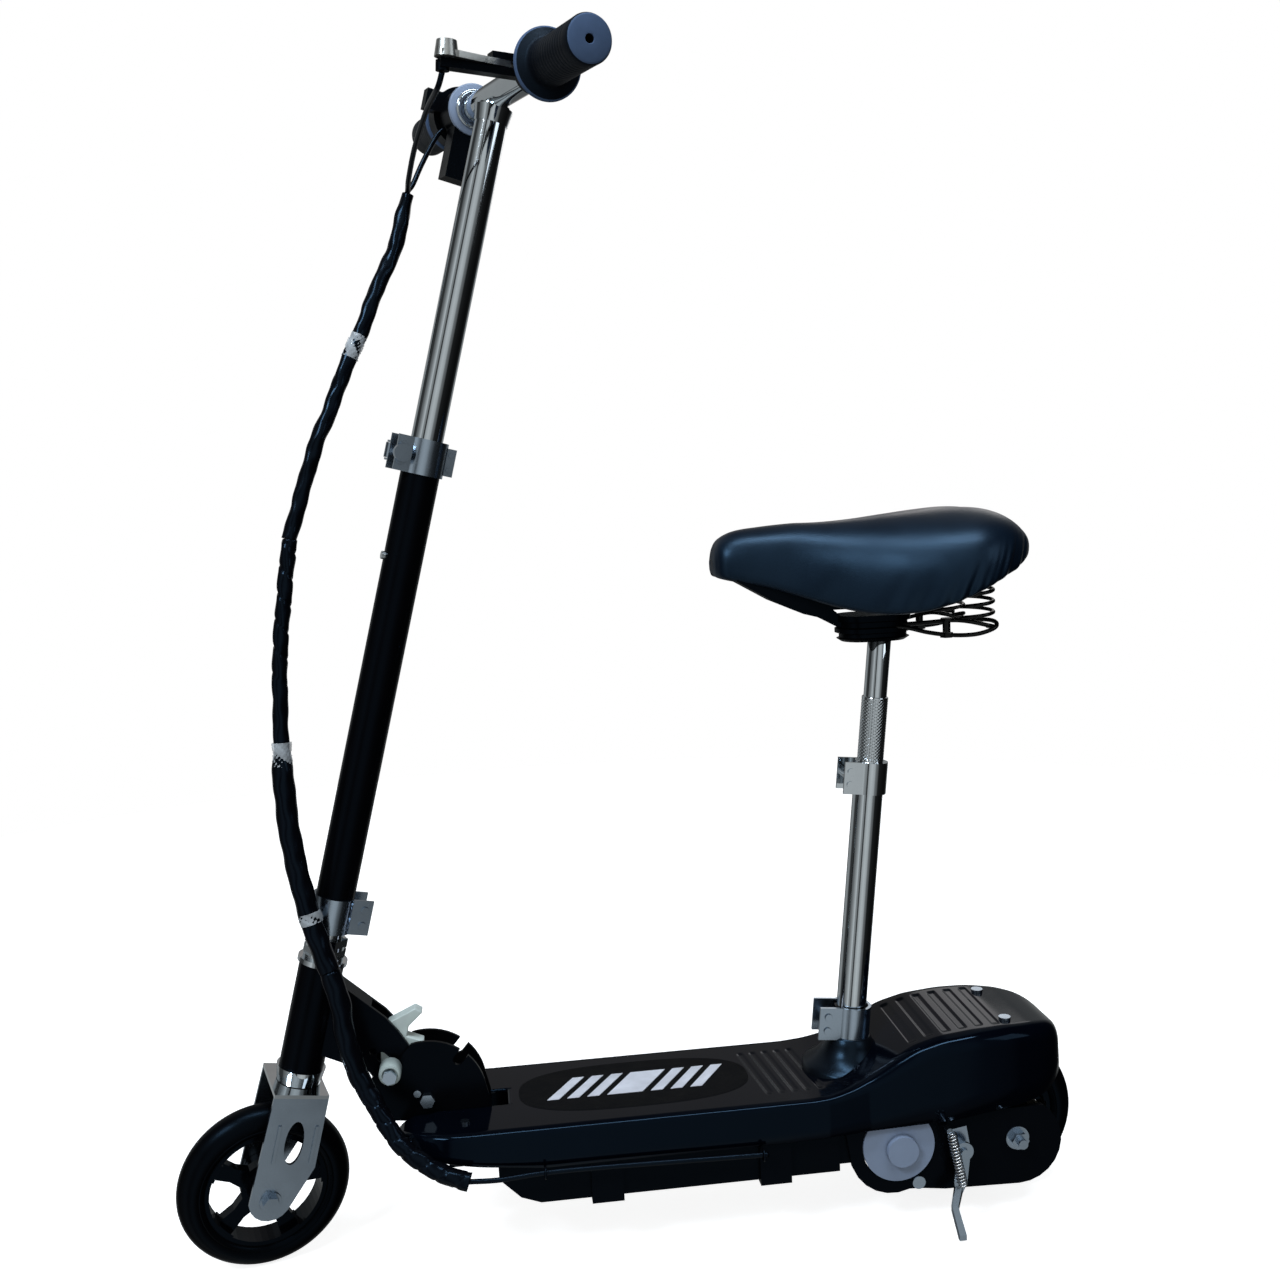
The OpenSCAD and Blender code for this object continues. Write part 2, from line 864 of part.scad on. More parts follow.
module stem_clamp() {
    color("silver")
        on_steering() {
            strap_clamp(stem_r, 2, upper_clamp[0], upper_clamp[1], 10);
            for (z = [upper_clamp[0] + 8, upper_clamp[1] - 8])
                translate([stem_r + 5, 0, z])
                    rod_y(2, -5, 5, 16);
            box_at([stem_r + 1, -4, upper_clamp[0] + 3], [stem_r + 9, 4, upper_clamp[1] - 3]);
            // Cross bolt with its round nut, and the fork the lever's pin stands in
            translate([clamp_lever.x, 0, clamp_lever.y]) {
                rod_y(2.5, -14, 13, 16);
                rod_y(7, -17, -12);
                for (z = [-8, 6.3])
                    box_at([-4, 12, z], [4, lever_pin_y + 3, z + 1.7]);
                translate([0, lever_pin_y, -8])
                    cylinder(r = 2, h = 16, $fn = 24);
            }
        }
}

// Quick-release lever on the far side of the stem clamp, turning on a pin along the stem
module stem_clamp_lever() {
    color("silver")
        on_steering()
            translate([clamp_lever.x, lever_pin_y, clamp_lever.y - 6])
                difference() {
                    union() {
                        cylinder(r = 5.4, h = 12);
                        box_at([0, 0.6, 1], [38, 3.6, 11]);
                    }
                    translate([0, 0, -1])
                        cylinder(r = 2.05, h = 14, $fn = 24);
                }
}

module snap_button() {
    color("silver")
        on_steering()
            translate([-inner_r - 0.3, 0, 526])
                rotate([0, -90, 0])
                    cylinder(r = 3.24, h = 5, $fn = 24);
}

// ---------- front wheel ----------

module front_tyre() { color("#0c0c0c") at_front_axle() tyre_ring(axle_z, tyre_w); }

module front_rim() {
    color("#141414")
        at_front_axle()
            spoked_rim(axle_z - 21, 22, 13, fork_half - fork_t - 0.5, axle_r + 0.03);
}

// ---------- handlebar ----------

module on_bar() { on_steering() translate([0, 0, bar_height]) children(); }

module handlebar() {
    color("#c9ccd2") {
        on_steering()
            difference() {
                tube(inner_r, 1.5, 500, bar_height - 8);
                // Hole the snap button presses into
                translate([0, 0, 526])
                    rotate([0, -90, 0])
                        cylinder(r = 3.6, h = 20);
            }
        on_bar()
            difference() {
                rod_y(bar_r, -bar_half + 4, bar_half - 4);
                rod_y(bar_r - 1.5, -bar_half, bar_half);
            }
        on_steering()
            translate([0, 0, bar_height - 22])
                cylinder(r1 = 13.2, r2 = 15, h = 12);
    }
}

// A grip along +Y, with a round flange at its inner end and a hole in its end face
module grip_form() {
    difference() {
        union() {
            rod_y(grip_r, grip_inner, bar_half);
            rod_y(flange_r, grip_inner, grip_inner + 4);
        }
        rod_y(bar_r + 0.02, grip_inner - 1, bar_half - 4);
        rod_y(3, bar_half - 6, bar_half + 6, 24);
    }
}

module left_grip() { color("#17181c") on_bar() mirror([0, 1, 0]) grip_form(); }

module throttle_grip() { color("#17181c") on_bar() grip_form(); }

// Places its children on the bar, tipped forward and down by the lever's tilt
module on_lever() {
    on_bar()
        rotate([0, -lever_tilt, 0])
            children();
}

// Bar clamp with an arm that carries the lever's pivot and the cable's barrel
module brake_perch() {
    color("#1a1a1a")
        on_lever() {
            difference() {
                union() {
                    rod_y(15.5, -103, -86);
                    box_at([-73, -101, -8], [-10, -89, -2.5]);
                    box_at([-36, -101, -8], [-10, -89, 7]);
                    translate([-70, -95, -10])
                        cylinder(r = 4.8, h = 7, $fn = 24);
                }
                rod_y(bar_r + 0.02, -110, -80);
                // Slot the lever turns in
                box_at([-60, -110, -2.5], [-19, -80, 2.5]);
            }
            translate([lever_pivot.x, lever_pivot.y, -7])
                cylinder(r = 2.45, h = 15, $fn = 24);
        }
}

// Short lever that reaches forward over the arm, with a heavy rounded end
module brake_lever() {
    color("silver")
        on_lever()
            difference() {
                union() {
                    translate([0, 0, -2.2])
                        linear_extrude(4.4)
                            polygon([
                                [-21, -90], [-32, -87], [-50, -91], [-66, -94], [-76, -99], [-74, -108],
                                [-62, -108], [-40, -103], [-22, -100]
                            ]);
                    translate([-69, -101, -2])
                        cylinder(r1 = 8.5, r2 = 7, h = 11, $fn = 32);
                }
                translate([lever_pivot.x, lever_pivot.y, -10])
                    cylinder(r = 2.5, h = 20, $fn = 24);
            }
}

module switch_box() {
    color("#161618")
        on_bar() {
            difference() {
                union() {
                    // Throttle housing next to the twist grip
                    rod_y(20, 58, 92);
                    rod_y(24, 92, 108);
                    // Battery gauge box that hangs from the bar
                    box_at([-12, 60, -57], [18, 81, -4]);
                    // Hook on the housing's front
                    box_at([-34, 84, -4], [-14, 96, 12]);
                }
                rod_y(bar_r + 0.02, 20, 120);
            }
        }
}

// ---------- seat ----------

// Lower seat tube, with the clamp that holds the post in its top
module seat_tube() {
    top = seat_tube_len - 50;
    color("#c9ccd2")
        on_seat_axis()
            tube(seat_r, seat_r - post_r - 0.05, -76, top);
    color("silver")
        on_seat_axis() {
            strap_clamp(seat_r, 2.4, top - 15, top + 12, 12);
            clamp_bolt(-20, 2.4, top - 2);
            tube(seat_r + 0.03, seat_r - post_r - 0.02, top, top + 12);
        }
}

module seat_post() {
    color("#c9ccd2")
        on_seat_axis() {
            tube(post_r, 1.5, 60, 265);
            tube(post_r - 1.4, 1.5, 264, post_top);
        }
}

// Steel clamp block on the post, its arm to the saddle's pivot, and the spring rails
module saddle_clamp() {
    color("#141414") {
        difference() {
            union() {
                for (x = [205, 222])
                    translate([x, 0, 492])
                        cylinder(r = 18, h = 21);
                box_at([205, -18, 492], [222, 18, 513]);
                box_at([220, -30, 500], [240, 30, 505]);
                plate_y(-6, 6)
                    polygon([[190, 511], [190, 501], [150, 523], [134, 534], [134, 546], [146, 546]]);
            }
            on_seat_axis()
                translate([0, 0, post_top - 40])
                    cylinder(r = post_r - 1.38, h = 60);
        }
        translate([saddle_pivot.x, 0, saddle_pivot.y])
            rod_y(3, -20, 20, 24);
        for (y = [-33, -26, 26, 33])
            translate([239, y, 502.5])
                rotate([0, 90, 0])
                    cylinder(r = 2, h = 70, $fn = 16);
        for (y = [-33, 26])
            box_at([238, y - 1, 501], [242, y + 8, 504]);
    }
}

// Moulded shell under the saddle, slotted for the arm
module saddle_base() {
    color("#0f0f10")
        difference() {
            plate_y(-24, 24)
                polygon([
                    [96, 558], [96, 548], [130, 528], [150, 519], [168, 514], [173, 521], [256, 521],
                    [256, 536], [120, 562]
                ]);
            box_at([126, -6.5, 505], [190, 6.5, 551]);
            translate([saddle_pivot.x, 0, saddle_pivot.y])
                rod_y(3.05, -20.5, 20.5, 24);
        }
}

module saddle_springs() {
    color("#101010")
        for (side = [-1, 1])
            translate([292, side * 34, 505])
                tube(14, 3, 0, 31);
}

module saddle() {
    color("#1a1c22")
        difference() {
            hull() {
                translate([100, 0, 569])
                    sphere(r = 19.5, $fn = 32);
                for (side = [-1, 1]) {
                    translate([212, side * 42, 546])
                        sphere(r = 28, $fn = 32);
                    translate([284, side * 58, 570])
                        sphere(r = 30, $fn = 32);
                }
                translate([311, 0, 571])
                    sphere(r = 30, $fn = 32);
            }
            // Hollow round the moulded shell and above the springs
            plate_y(-24.5, 24.5)
                polygon([[60, 560], [60, 500], [256.5, 500], [256.5, 536.5], [120, 562.5], [95.5, 560]]);
            box_at([256, -100, 480], [360, 100, 536.5]);
        }
}

deck_rails();
cross_members();
fold_plate_left();
fold_plate_right();
frame_bolts();
motor_plate_left();
motor_plate_right();
seat_base_clamp();
seat_boot();
deck_cover();
battery_tray();
tray_straps();
batteries();
controller();
charge_port();
motor_body();
motor_end_cap();
rear_axle();
brake_band();
drive_chain();
kickstand_bracket();
deck_cable();
rear_tyre();
rear_rim();
rear_sprocket();
brake_drum();
brake_arm();
motor_pinion();
kickstand();
kickstand_spring();
neck_beam();
head_tube();
headset_cups();
lock_pin();
lock_hook();
fork_crown();
fork_leg_left();
fork_leg_right();
front_axle();
steerer_clamp();
stem_tube();
stem_clamp();
stem_clamp_lever();
snap_button();
front_tyre();
front_rim();
handlebar();
left_grip();
brake_perch();
brake_lever();
throttle_grip();
switch_box();
bar_cables();
wiring_harness();
seat_tube();
seat_post();
saddle_clamp();
saddle_base();
saddle_springs();
saddle();
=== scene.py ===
"""Looks of the folding electric kick scooter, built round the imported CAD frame."""

import json
import math
import random

import bpy
import numpy as np
from mathutils import Matrix, Vector


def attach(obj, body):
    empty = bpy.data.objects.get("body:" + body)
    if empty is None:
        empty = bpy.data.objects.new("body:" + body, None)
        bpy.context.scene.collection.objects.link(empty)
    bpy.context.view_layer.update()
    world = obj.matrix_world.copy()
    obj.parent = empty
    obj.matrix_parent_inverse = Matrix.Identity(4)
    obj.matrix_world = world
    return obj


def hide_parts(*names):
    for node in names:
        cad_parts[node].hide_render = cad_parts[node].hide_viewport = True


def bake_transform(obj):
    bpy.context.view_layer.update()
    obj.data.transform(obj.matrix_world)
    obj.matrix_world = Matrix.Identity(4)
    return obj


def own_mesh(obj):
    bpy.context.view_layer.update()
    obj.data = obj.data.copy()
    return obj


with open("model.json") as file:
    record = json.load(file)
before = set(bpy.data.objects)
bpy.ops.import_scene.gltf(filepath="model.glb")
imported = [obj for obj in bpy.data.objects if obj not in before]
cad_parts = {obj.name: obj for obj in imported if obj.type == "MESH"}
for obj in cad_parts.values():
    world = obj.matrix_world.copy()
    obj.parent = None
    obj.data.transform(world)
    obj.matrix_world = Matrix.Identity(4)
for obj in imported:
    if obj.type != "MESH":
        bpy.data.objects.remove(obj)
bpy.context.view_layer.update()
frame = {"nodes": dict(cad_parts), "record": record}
nodes = frame["nodes"]
joints = {j["name"]: j for j in frame["record"]["behaviour"]["joints"]}
MM = 0.001
WHEEL_R = 0.070
FLOOR_R = 1.9
FLOOR_GLOW = 0.85
COOL = (0.34, 0.64, 1.0)  # tint of reflections in black paint, plastic, rubber and vinyl


# ---------- places taken from the frame ----------


def axes_matrix(x, y, z, origin):
    """A frame with these axes at this origin."""
    m = Matrix.Identity(4)
    for i, v in enumerate((x, y, z)):
        for row in range(3):
            m[row][i] = v[row]
    m.translation = origin
    return m


def joint_point(name):
    return Vector(joints[name]["pos_m"])


def joint_axis(name):
    return Vector(joints[name]["axis"]).normalized()


stem_up = joint_axis("steering_turn")
bar_dir = joint_axis("throttle_twist")
stem_fore = bar_dir.cross(stem_up)
STEM_REF = 0.145
stem_origin = joint_point("steering_turn") - STEM_REF * stem_up
STEM = axes_matrix(stem_fore, bar_dir, stem_up, stem_origin)
BAR_HEIGHT = 0.892
BAR = STEM @ Matrix.Translation((0, 0, BAR_HEIGHT))
FRONT_AXLE = axes_matrix(stem_fore, bar_dir, stem_up, joint_point("front_wheel_spin"))
REAR_AXLE = Matrix.Translation(joint_point("rear_wheel_spin"))
seat_up = -joint_axis("seat_post_height")
seat_side = Vector((0, 1, 0))
SEAT = axes_matrix(seat_side.cross(seat_up), seat_side, seat_up, Vector((0.1886, 0, 0.180)))


# ---------- materials ----------


def noise(tree, coords, scale, detail):
    tex = tree.nodes.new("ShaderNodeTexNoise")
    tex.inputs["Scale"].default_value = scale
    tex.inputs["Detail"].default_value = detail
    tree.links.new(coords.outputs["Object"], tex.inputs["Vector"])
    return tex


def ramp(tree, source, low, high, low_at=0.3, high_at=0.7):
    node = tree.nodes.new("ShaderNodeValToRGB")
    for element, at, colour in zip(node.color_ramp.elements, (low_at, high_at), (low, high)):
        element.position = at
        element.color = (*colour, 1)
    tree.links.new(source, node.inputs["Fac"])
    return node


def material(name, colour, rough, metal=0.0, spread=0.15, patch=60, bump=0.0, grain=900,
             specular=0.5, tint=0.12, glint=(1, 1, 1), painted_shade_reach=0.0):
    """Principled surface whose colour and roughness vary in patches, with a fine grain as bump.

    glint tints the reflections; the last argument is how far, in metres, from corners the colour
    gets painted shade.
    """
    mat = bpy.data.materials.new(name)
    mat.use_nodes = True
    tree = mat.node_tree
    shader = tree.nodes["Principled BSDF"]
    coords = tree.nodes.new("ShaderNodeTexCoord")
    patches = noise(tree, coords, patch, 5.0)
    low = [c * (1 - tint) for c in colour]
    high = [min(1, c * (1 + tint)) for c in colour]
    tone = ramp(tree, patches.outputs["Fac"], low, high)
    shade = tone.outputs["Color"]
    # Painted shade: ambient occlusion darkens the colour in corners and hollows, where shade falls.
    if painted_shade_reach:
        corner = tree.nodes.new("ShaderNodeAmbientOcclusion")
        corner.samples = 8
        corner.only_local = False
        corner.inputs["Distance"].default_value = painted_shade_reach
        painted_shade_ramp = ramp(tree, corner.outputs["AO"], (0.3, 0.3, 0.3), (1, 1, 1), 0.2, 0.8)
        product = tree.nodes.new("ShaderNodeMix")
        product.data_type = "RGBA"
        product.blend_type = "MULTIPLY"
        product.inputs["Factor"].default_value = 1.0
        tree.links.new(shade, product.inputs["A"])
        tree.links.new(painted_shade_ramp.outputs["Color"], product.inputs["B"])
        shade = product.outputs["Result"]
    tree.links.new(shade, shader.inputs["Base Color"])
    span = (max(0.02, rough * (1 - spread)),) * 3, (min(1, rough * (1 + spread)),) * 3
    shine = ramp(tree, patches.outputs["Fac"], *span)
    tree.links.new(shine.outputs["Color"], shader.inputs["Roughness"])
    shader.inputs["Metallic"].default_value = metal
    shader.inputs["Specular IOR Level"].default_value = specular
    shader.inputs["Specular Tint"].default_value = (*glint, 1)
    if bump:
        fine = noise(tree, coords, grain, 3.0)
        node = tree.nodes.new("ShaderNodeBump")
        node.inputs["Strength"].default_value = bump
        node.inputs["Distance"].default_value = 0.0004
        tree.links.new(fine.outputs["Fac"], node.inputs["Height"])
        tree.links.new(node.outputs["Normal"], shader.inputs["Normal"])
    return mat


def clear_tape():
    """Wrinkled clear sticky tape."""
    mat = material("clear_tape", (0.75, 0.8, 0.85), 0.12, bump=0.9, grain=260, spread=0.4)
    mat.node_tree.nodes["Principled BSDF"].inputs["Alpha"].default_value = 0.5
    return mat


def vinyl():
    """Soft black vinyl with a fine cell grain and a cool sheen."""
    mat = material("saddle_vinyl", (0.0022, 0.0055, 0.0125), 0.36, bump=0.2, grain=1500, spread=0.15,
                   patch=25, specular=0.45, glint=COOL)
    tree = mat.node_tree
    shader = tree.nodes["Principled BSDF"]
    cells = tree.nodes.new("ShaderNodeTexVoronoi")
    cells.inputs["Scale"].default_value = 900
    coords = next(n for n in tree.nodes if n.type == "TEX_COORD")
    tree.links.new(coords.outputs["Object"], cells.inputs["Vector"])
    node = tree.nodes.new("ShaderNodeBump")
    node.inputs["Strength"].default_value = 0.12
    node.inputs["Distance"].default_value = 0.0002
    tree.links.new(cells.outputs["Distance"], node.inputs["Height"])
    first = next(n for n in tree.nodes if n.type == "BUMP" and n != node)
    tree.links.new(first.outputs["Normal"], node.inputs["Normal"])
    tree.links.new(node.outputs["Normal"], shader.inputs["Normal"])
    return mat


ZINC = {"colour": (0.40, 0.48, 0.57), "rough": 0.23, "metal": 1.0, "bump": 0.03, "grain": 500,
        "spread": 0.15, "patch": 40, "tint": 0.05}
MATS = {
    "frame_black": material("frame_black", (0.0016, 0.0016, 0.0022), 0.25, bump=0.06, grain=700,
                            specular=0.07, patch=30, glint=COOL),
    "cover_black": material("cover_black", (0.0008, 0.0014, 0.0035), 0.10, bump=0.015, grain=300,
                            specular=0.14, spread=0.2, patch=25, glint=COOL),
    "boot_black": material("boot_black", (0.0025, 0.003, 0.0045), 0.3, bump=0.1, grain=900,
                           specular=0.3, patch=40, glint=COOL),
    "black_plastic": material("black_plastic", (0.0016, 0.0016, 0.002), 0.35, bump=0.2,
                              grain=1400, specular=0.08, glint=COOL),
    # zinc_steel has painted shade in its corners; zinc_plain is the same zinc without it.
    "zinc_steel": material("zinc_steel", **ZINC, painted_shade_reach=0.003),
    "zinc_plain": material("zinc_plain", **ZINC),
    "chrome": material("chrome", (0.66, 0.71, 0.75), 0.07, 1.0, bump=0.01, grain=150,
                       spread=0.3, patch=60, tint=0.03),
    "tyre_black": material("tyre_black", (0.0014, 0.0014, 0.0018), 0.3, bump=0.15, grain=900,
                           specular=0.08, glint=COOL),
    "rim_black": material("rim_black", (0.0014, 0.0014, 0.002), 0.17, bump=0.05, grain=600,
                          specular=0.14, glint=COOL),
    "grip_rubber": material("grip_rubber", (0.0035, 0.004, 0.006), 0.5, bump=0.3, grain=1600,
                            specular=0.18, glint=COOL),
    # A lighter copy of the grip rubber: painted light on the end face and flange, which face the
    # lamps.
    "grip_painted_light": material("grip_painted_light", (0.065, 0.10, 0.18), 0.6, bump=0.3, grain=1600,
                          specular=0.2, glint=COOL),
    # Painted shade in the corners of the motor and throttle face.
    "motor_grey": material("motor_grey", (0.24, 0.30, 0.42), 0.38, bump=0.15, grain=900,
                           spread=0.15, tint=0.04, painted_shade_reach=0.004),
    "lock_white": material("lock_white", (0.62, 0.70, 0.67), 0.35, bump=0.08, grain=600),
    "lock_sleeve": material("lock_sleeve", (0.42, 0.48, 0.46), 0.25, bump=0.1, grain=500),
    "cable_black": material("cable_black", (0.002, 0.0022, 0.0035), 0.2, bump=0.1, grain=800,
                            specular=0.17, spread=0.4, glint=COOL),
    "spring_steel": material("spring_steel", (0.60, 0.60, 0.60), 0.25, 1.0, bump=0.1),
    "spring_black": material("spring_black", (0.0025, 0.0025, 0.0025), 0.25, bump=0.1,
                             specular=0.25),
    "battery_grey": material("battery_grey", (0.05, 0.05, 0.055), 0.5, bump=0.3),
    "chain_steel": material("chain_steel", (0.12, 0.115, 0.10), 0.45, 1.0, bump=0.3, spread=0.4),
    # Painted shade in the corners of the cast parts.
    "cast_aluminium": material("cast_aluminium", (0.46, 0.46, 0.44), 0.3, 1.0, bump=0.15,
                               grain=700, spread=0.2, patch=70, tint=0.2, painted_shade_reach=0.003),
    "saddle_vinyl": vinyl(),
    "clear_tape": clear_tape(),
    "grip_sticker": material("grip_sticker", (0.0035, 0.0035, 0.004), 0.8, bump=0.9, grain=2200,
                             specular=0.1),
    "white_print": material("white_print", (0.72, 0.73, 0.80), 0.6, bump=0.4, grain=2200),
}


# ---------- mesh helpers ----------


def new_mesh(name, points, faces, mat, smooth=True):
    mesh = bpy.data.meshes.new(name)
    mesh.from_pydata([tuple(p) for p in points], [], [tuple(f) for f in faces])
    mesh.update()
    mesh.materials.append(MATS[mat])
    if smooth:
        mesh.shade_smooth()
    obj = bpy.data.objects.new(name, mesh)
    bpy.context.collection.objects.link(obj)
    return obj


def finish_piece(obj, body=None, replaced=()):
    if body:
        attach(obj, body)
    if replaced:
        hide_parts(*replaced)
    return obj


def sharpen(obj, degrees=35):
    """Keeps edges sharper than this unsmoothed."""
    mesh = obj.data
    mesh.shade_smooth()
    mesh.set_sharp_from_angle(angle=math.radians(degrees))


def bridge(rings, count, wrap=False):
    """Faces that join rings of `count` points in a row, the last one to the first with wrap."""
    faces = []
    for i in range(rings if wrap else rings - 1):
        j = (i + 1) % rings
        for k in range(count):
            m = (k + 1) % count
            faces.append((i * count + k, i * count + m, j * count + m, j * count + k))
    return faces


def lathe(name, profile, place, mat, segments=96):
    """Turns (radius, height) points round the Y axis of `place`."""
    points = []
    for i in range(segments):
        a = 2 * math.pi * i / segments
        for r, y in profile:
            points.append(place @ Vector((r * math.cos(a), y, r * math.sin(a))))
    return new_mesh(name, points, bridge(segments, len(profile), wrap=True), mat)


def curve_between(a, b, c, d, t):
    """Catmull-Rom curve from b to c, with a before them and d after."""
    return 0.5 * (2 * b + (c - a) * t + (2 * a - 5 * b + 4 * c - d) * t * t
                  + (3 * b - a - 3 * c + d) * t ** 3)


def smooth_route(points, spacing):
    """Catmull-Rom curve through the points, cut into even steps."""
    p = [np.array(q, float) for q in points]
    p = [2 * p[0] - p[1]] + p + [2 * p[-1] - p[-2]]
    dense = []
    for i in range(1, len(p) - 2):
        for t in np.linspace(0, 1, 24, endpoint=False):
            dense.append(curve_between(*p[i - 1:i + 3], t))
    dense.append(p[-2])
    dense = np.array(dense)
    steps = np.r_[0, np.cumsum(np.linalg.norm(np.diff(dense, axis=0), axis=1))]
    count = max(2, int(round(steps[-1] / spacing)))
    at = np.linspace(0, steps[-1], count + 1)
    return np.stack([np.interp(at, steps, dense[:, k]) for k in range(3)], 1), at


def sweep(name, points, radius, mat, spacing=0.002, sides=16, caps=True):
    """Tube along a route. radius is a number or a function of (distance, angle)."""
    line, at = smooth_route(points, spacing)
    ahead = np.gradient(line, axis=0)
    ahead /= np.linalg.norm(ahead, axis=1)[:, None]
    side = np.cross(ahead[0], [0.1, 0.3, 0.9])
    verts = []
    for i, (c, d) in enumerate(zip(line, ahead)):
        side = side - d * (side @ d)
        side /= np.linalg.norm(side)
        up = np.cross(d, side)
        for k in range(sides):
            a = 2 * math.pi * k / sides
            r = radius(at[i], a) if callable(radius) else radius
            verts.append(c + r * (math.cos(a) * side + math.sin(a) * up))
    n = len(line)
    faces = bridge(n, sides)
    if caps:
        faces.append(tuple(range(sides - 1, -1, -1)))
        faces.append(tuple((n - 1) * sides + k for k in range(sides)))
    return new_mesh(name, verts, faces, mat)


def add_bevel(obj, width, segments=2, degrees=35):
    mod = obj.modifiers.new("edges", "BEVEL")
    mod.width = width
    mod.segments = segments
    mod.limit_method = "ANGLE"
    mod.angle_limit = math.radians(degrees)
    mod.harden_normals = True
    mod.use_clamp_overlap = True
    obj.data.shade_smooth()


def ease(t):
    """0 before 0, 1 after 1, and smooth between."""
    t = max(0.0, min(1.0, t))
    return t * t * (3 - 2 * t)


def arc(cx, cy, r, a0, a1, steps):
    """Points of an arc, angles in degrees."""
    return [(cx + r * math.cos(math.radians(a0 + (a1 - a0) * i / steps)),
             cy + r * math.sin(math.radians(a0 + (a1 - a0) * i / steps))) for i in range(steps + 1)]


# ---------- CAD nodes that stay ----------

BEVELS = {"saddle_base": 2.0, "switch_box": 1.5, "neck_beam": 1.2, "battery_tray": 2.5,
          "tray_straps": 1.5, "kickstand": 0.3, "headset_cups": 0, "motor_body": 0.8,
          "motor_end_cap": 1.0, "fold_plate_left": 0.5, "fold_plate_right": 0.5,
          "lock_hook": 0.9, "frame_bolts": 0, "rear_axle": 0, "front_axle": 0,
          "kickstand_bracket": 0, "front_rim": 0.8, "rear_rim": 0.8, "brake_perch": 0.9}
# Small zinc parts, on which painted shade in the corners would show as flecks.
PLAIN_ZINC = ("frame_bolts", "rear_axle", "front_axle", "kickstand_bracket", "kickstand")
BEVEL_WIDTH = 0.35  # millimetres, on nodes that BEVELS doesn't name


def dress_cad_nodes():
    for part in frame["record"]["subparts"]:
        obj = nodes[part["node"]]
        obj.data.materials.clear()
        slot = "zinc_plain" if part["node"] in PLAIN_ZINC else part["material_slot"]
        obj.data.materials.append(MATS[slot])
        width = BEVELS.get(part["node"], BEVEL_WIDTH)
        if width:
            add_bevel(obj, width * MM)


# ---------- wheels ----------


def tyre(name, place, body, replaced):
    """Solid rubber tyre with a mould ring on each wall."""
    outer = arc(WHEEL_R - 0.014, 0, 0.0138, -78, 78, 28)
    wall = [(0.0505, 0.0128), (0.053, 0.0137), (0.0538, 0.0132), (0.0546, 0.0137)]
    profile = [(r, -y) for r, y in wall] + outer + list(reversed(wall))
    profile += [(0.0492, 0.0112), (0.0492, -0.0112)]
    obj = lathe(name, profile, place, "tyre_black", 160)
    sharpen(obj, 40)
    return finish_piece(obj, body, replaced)


# ---------- deck cover ----------

COVER_TOP = [(-205, 106), (-198, 116), (-188, 121), (-172, 122.5), (138, 122.5), (156, 124),
             (172, 128), (187, 134), (198, 140), (210, 147), (227, 155.5), (250, 161.5),
             (281, 164.5), (307, 165), (333, 163), (350, 159.5), (361, 153), (369, 142)]
COVER_SKIRT = [(-205, 104), (-170, 102), (-135, 96), (-84, 90), (120, 90), (256, 93), (288, 97),
               (320, 99.5), (345, 104), (360, 114), (369, 126)]
SLOT_HALF = 14.6
SLOT_END = -110
TYRE_CUT = (330, 17.5, 127)
FLAT_HALF = 24  # columns of the flat top on each side of the middle


def eased(outline, x, blur=4.0):
    """Height of a side outline at x, with its corners eased over a few millimetres."""
    xs, zs = zip(*outline)
    near = np.linspace(-2, 2, 9)
    weight = np.exp(-near ** 2 / 2)
    return float(np.sum(np.interp(x + near * blur, xs, zs) * weight) / weight.sum())


def cover_half(x):
    """Half width of the cover at x, in millimetres."""
    if x < -130:
        return 65.5 * max(0.0, 1 - ((-130 - x) / 72.5) ** 2.8) ** (1 / 2.8)
    if x > 250:
        return 62.2 * max(0.0, 1 - ((x - 250) / 117) ** 2.9) ** (1 / 2.9)
    return float(np.interp(x, [-130, 150, 185, 250], [65.5, 65.5, 62.6, 62.2]))


def groove_depth(x, y):
    """Depth of the flat tread grooves moulded across the hump and the rear of the deck."""
    depth = 0.0
    ends = max(0, min(1, (41 - abs(y)) / 1.5))
    for k in range(6):
        centre = 229 + 14.5 * k
        depth += 0.8 * ends * math.exp(-((x - centre) / 3.4) ** 12)
    for k in range(5):
        centre = 101 + 11 * k - 0.12 * y
        depth += 0.5 * ends * math.exp(-((x - centre) / 2.6) ** 10)
    return depth


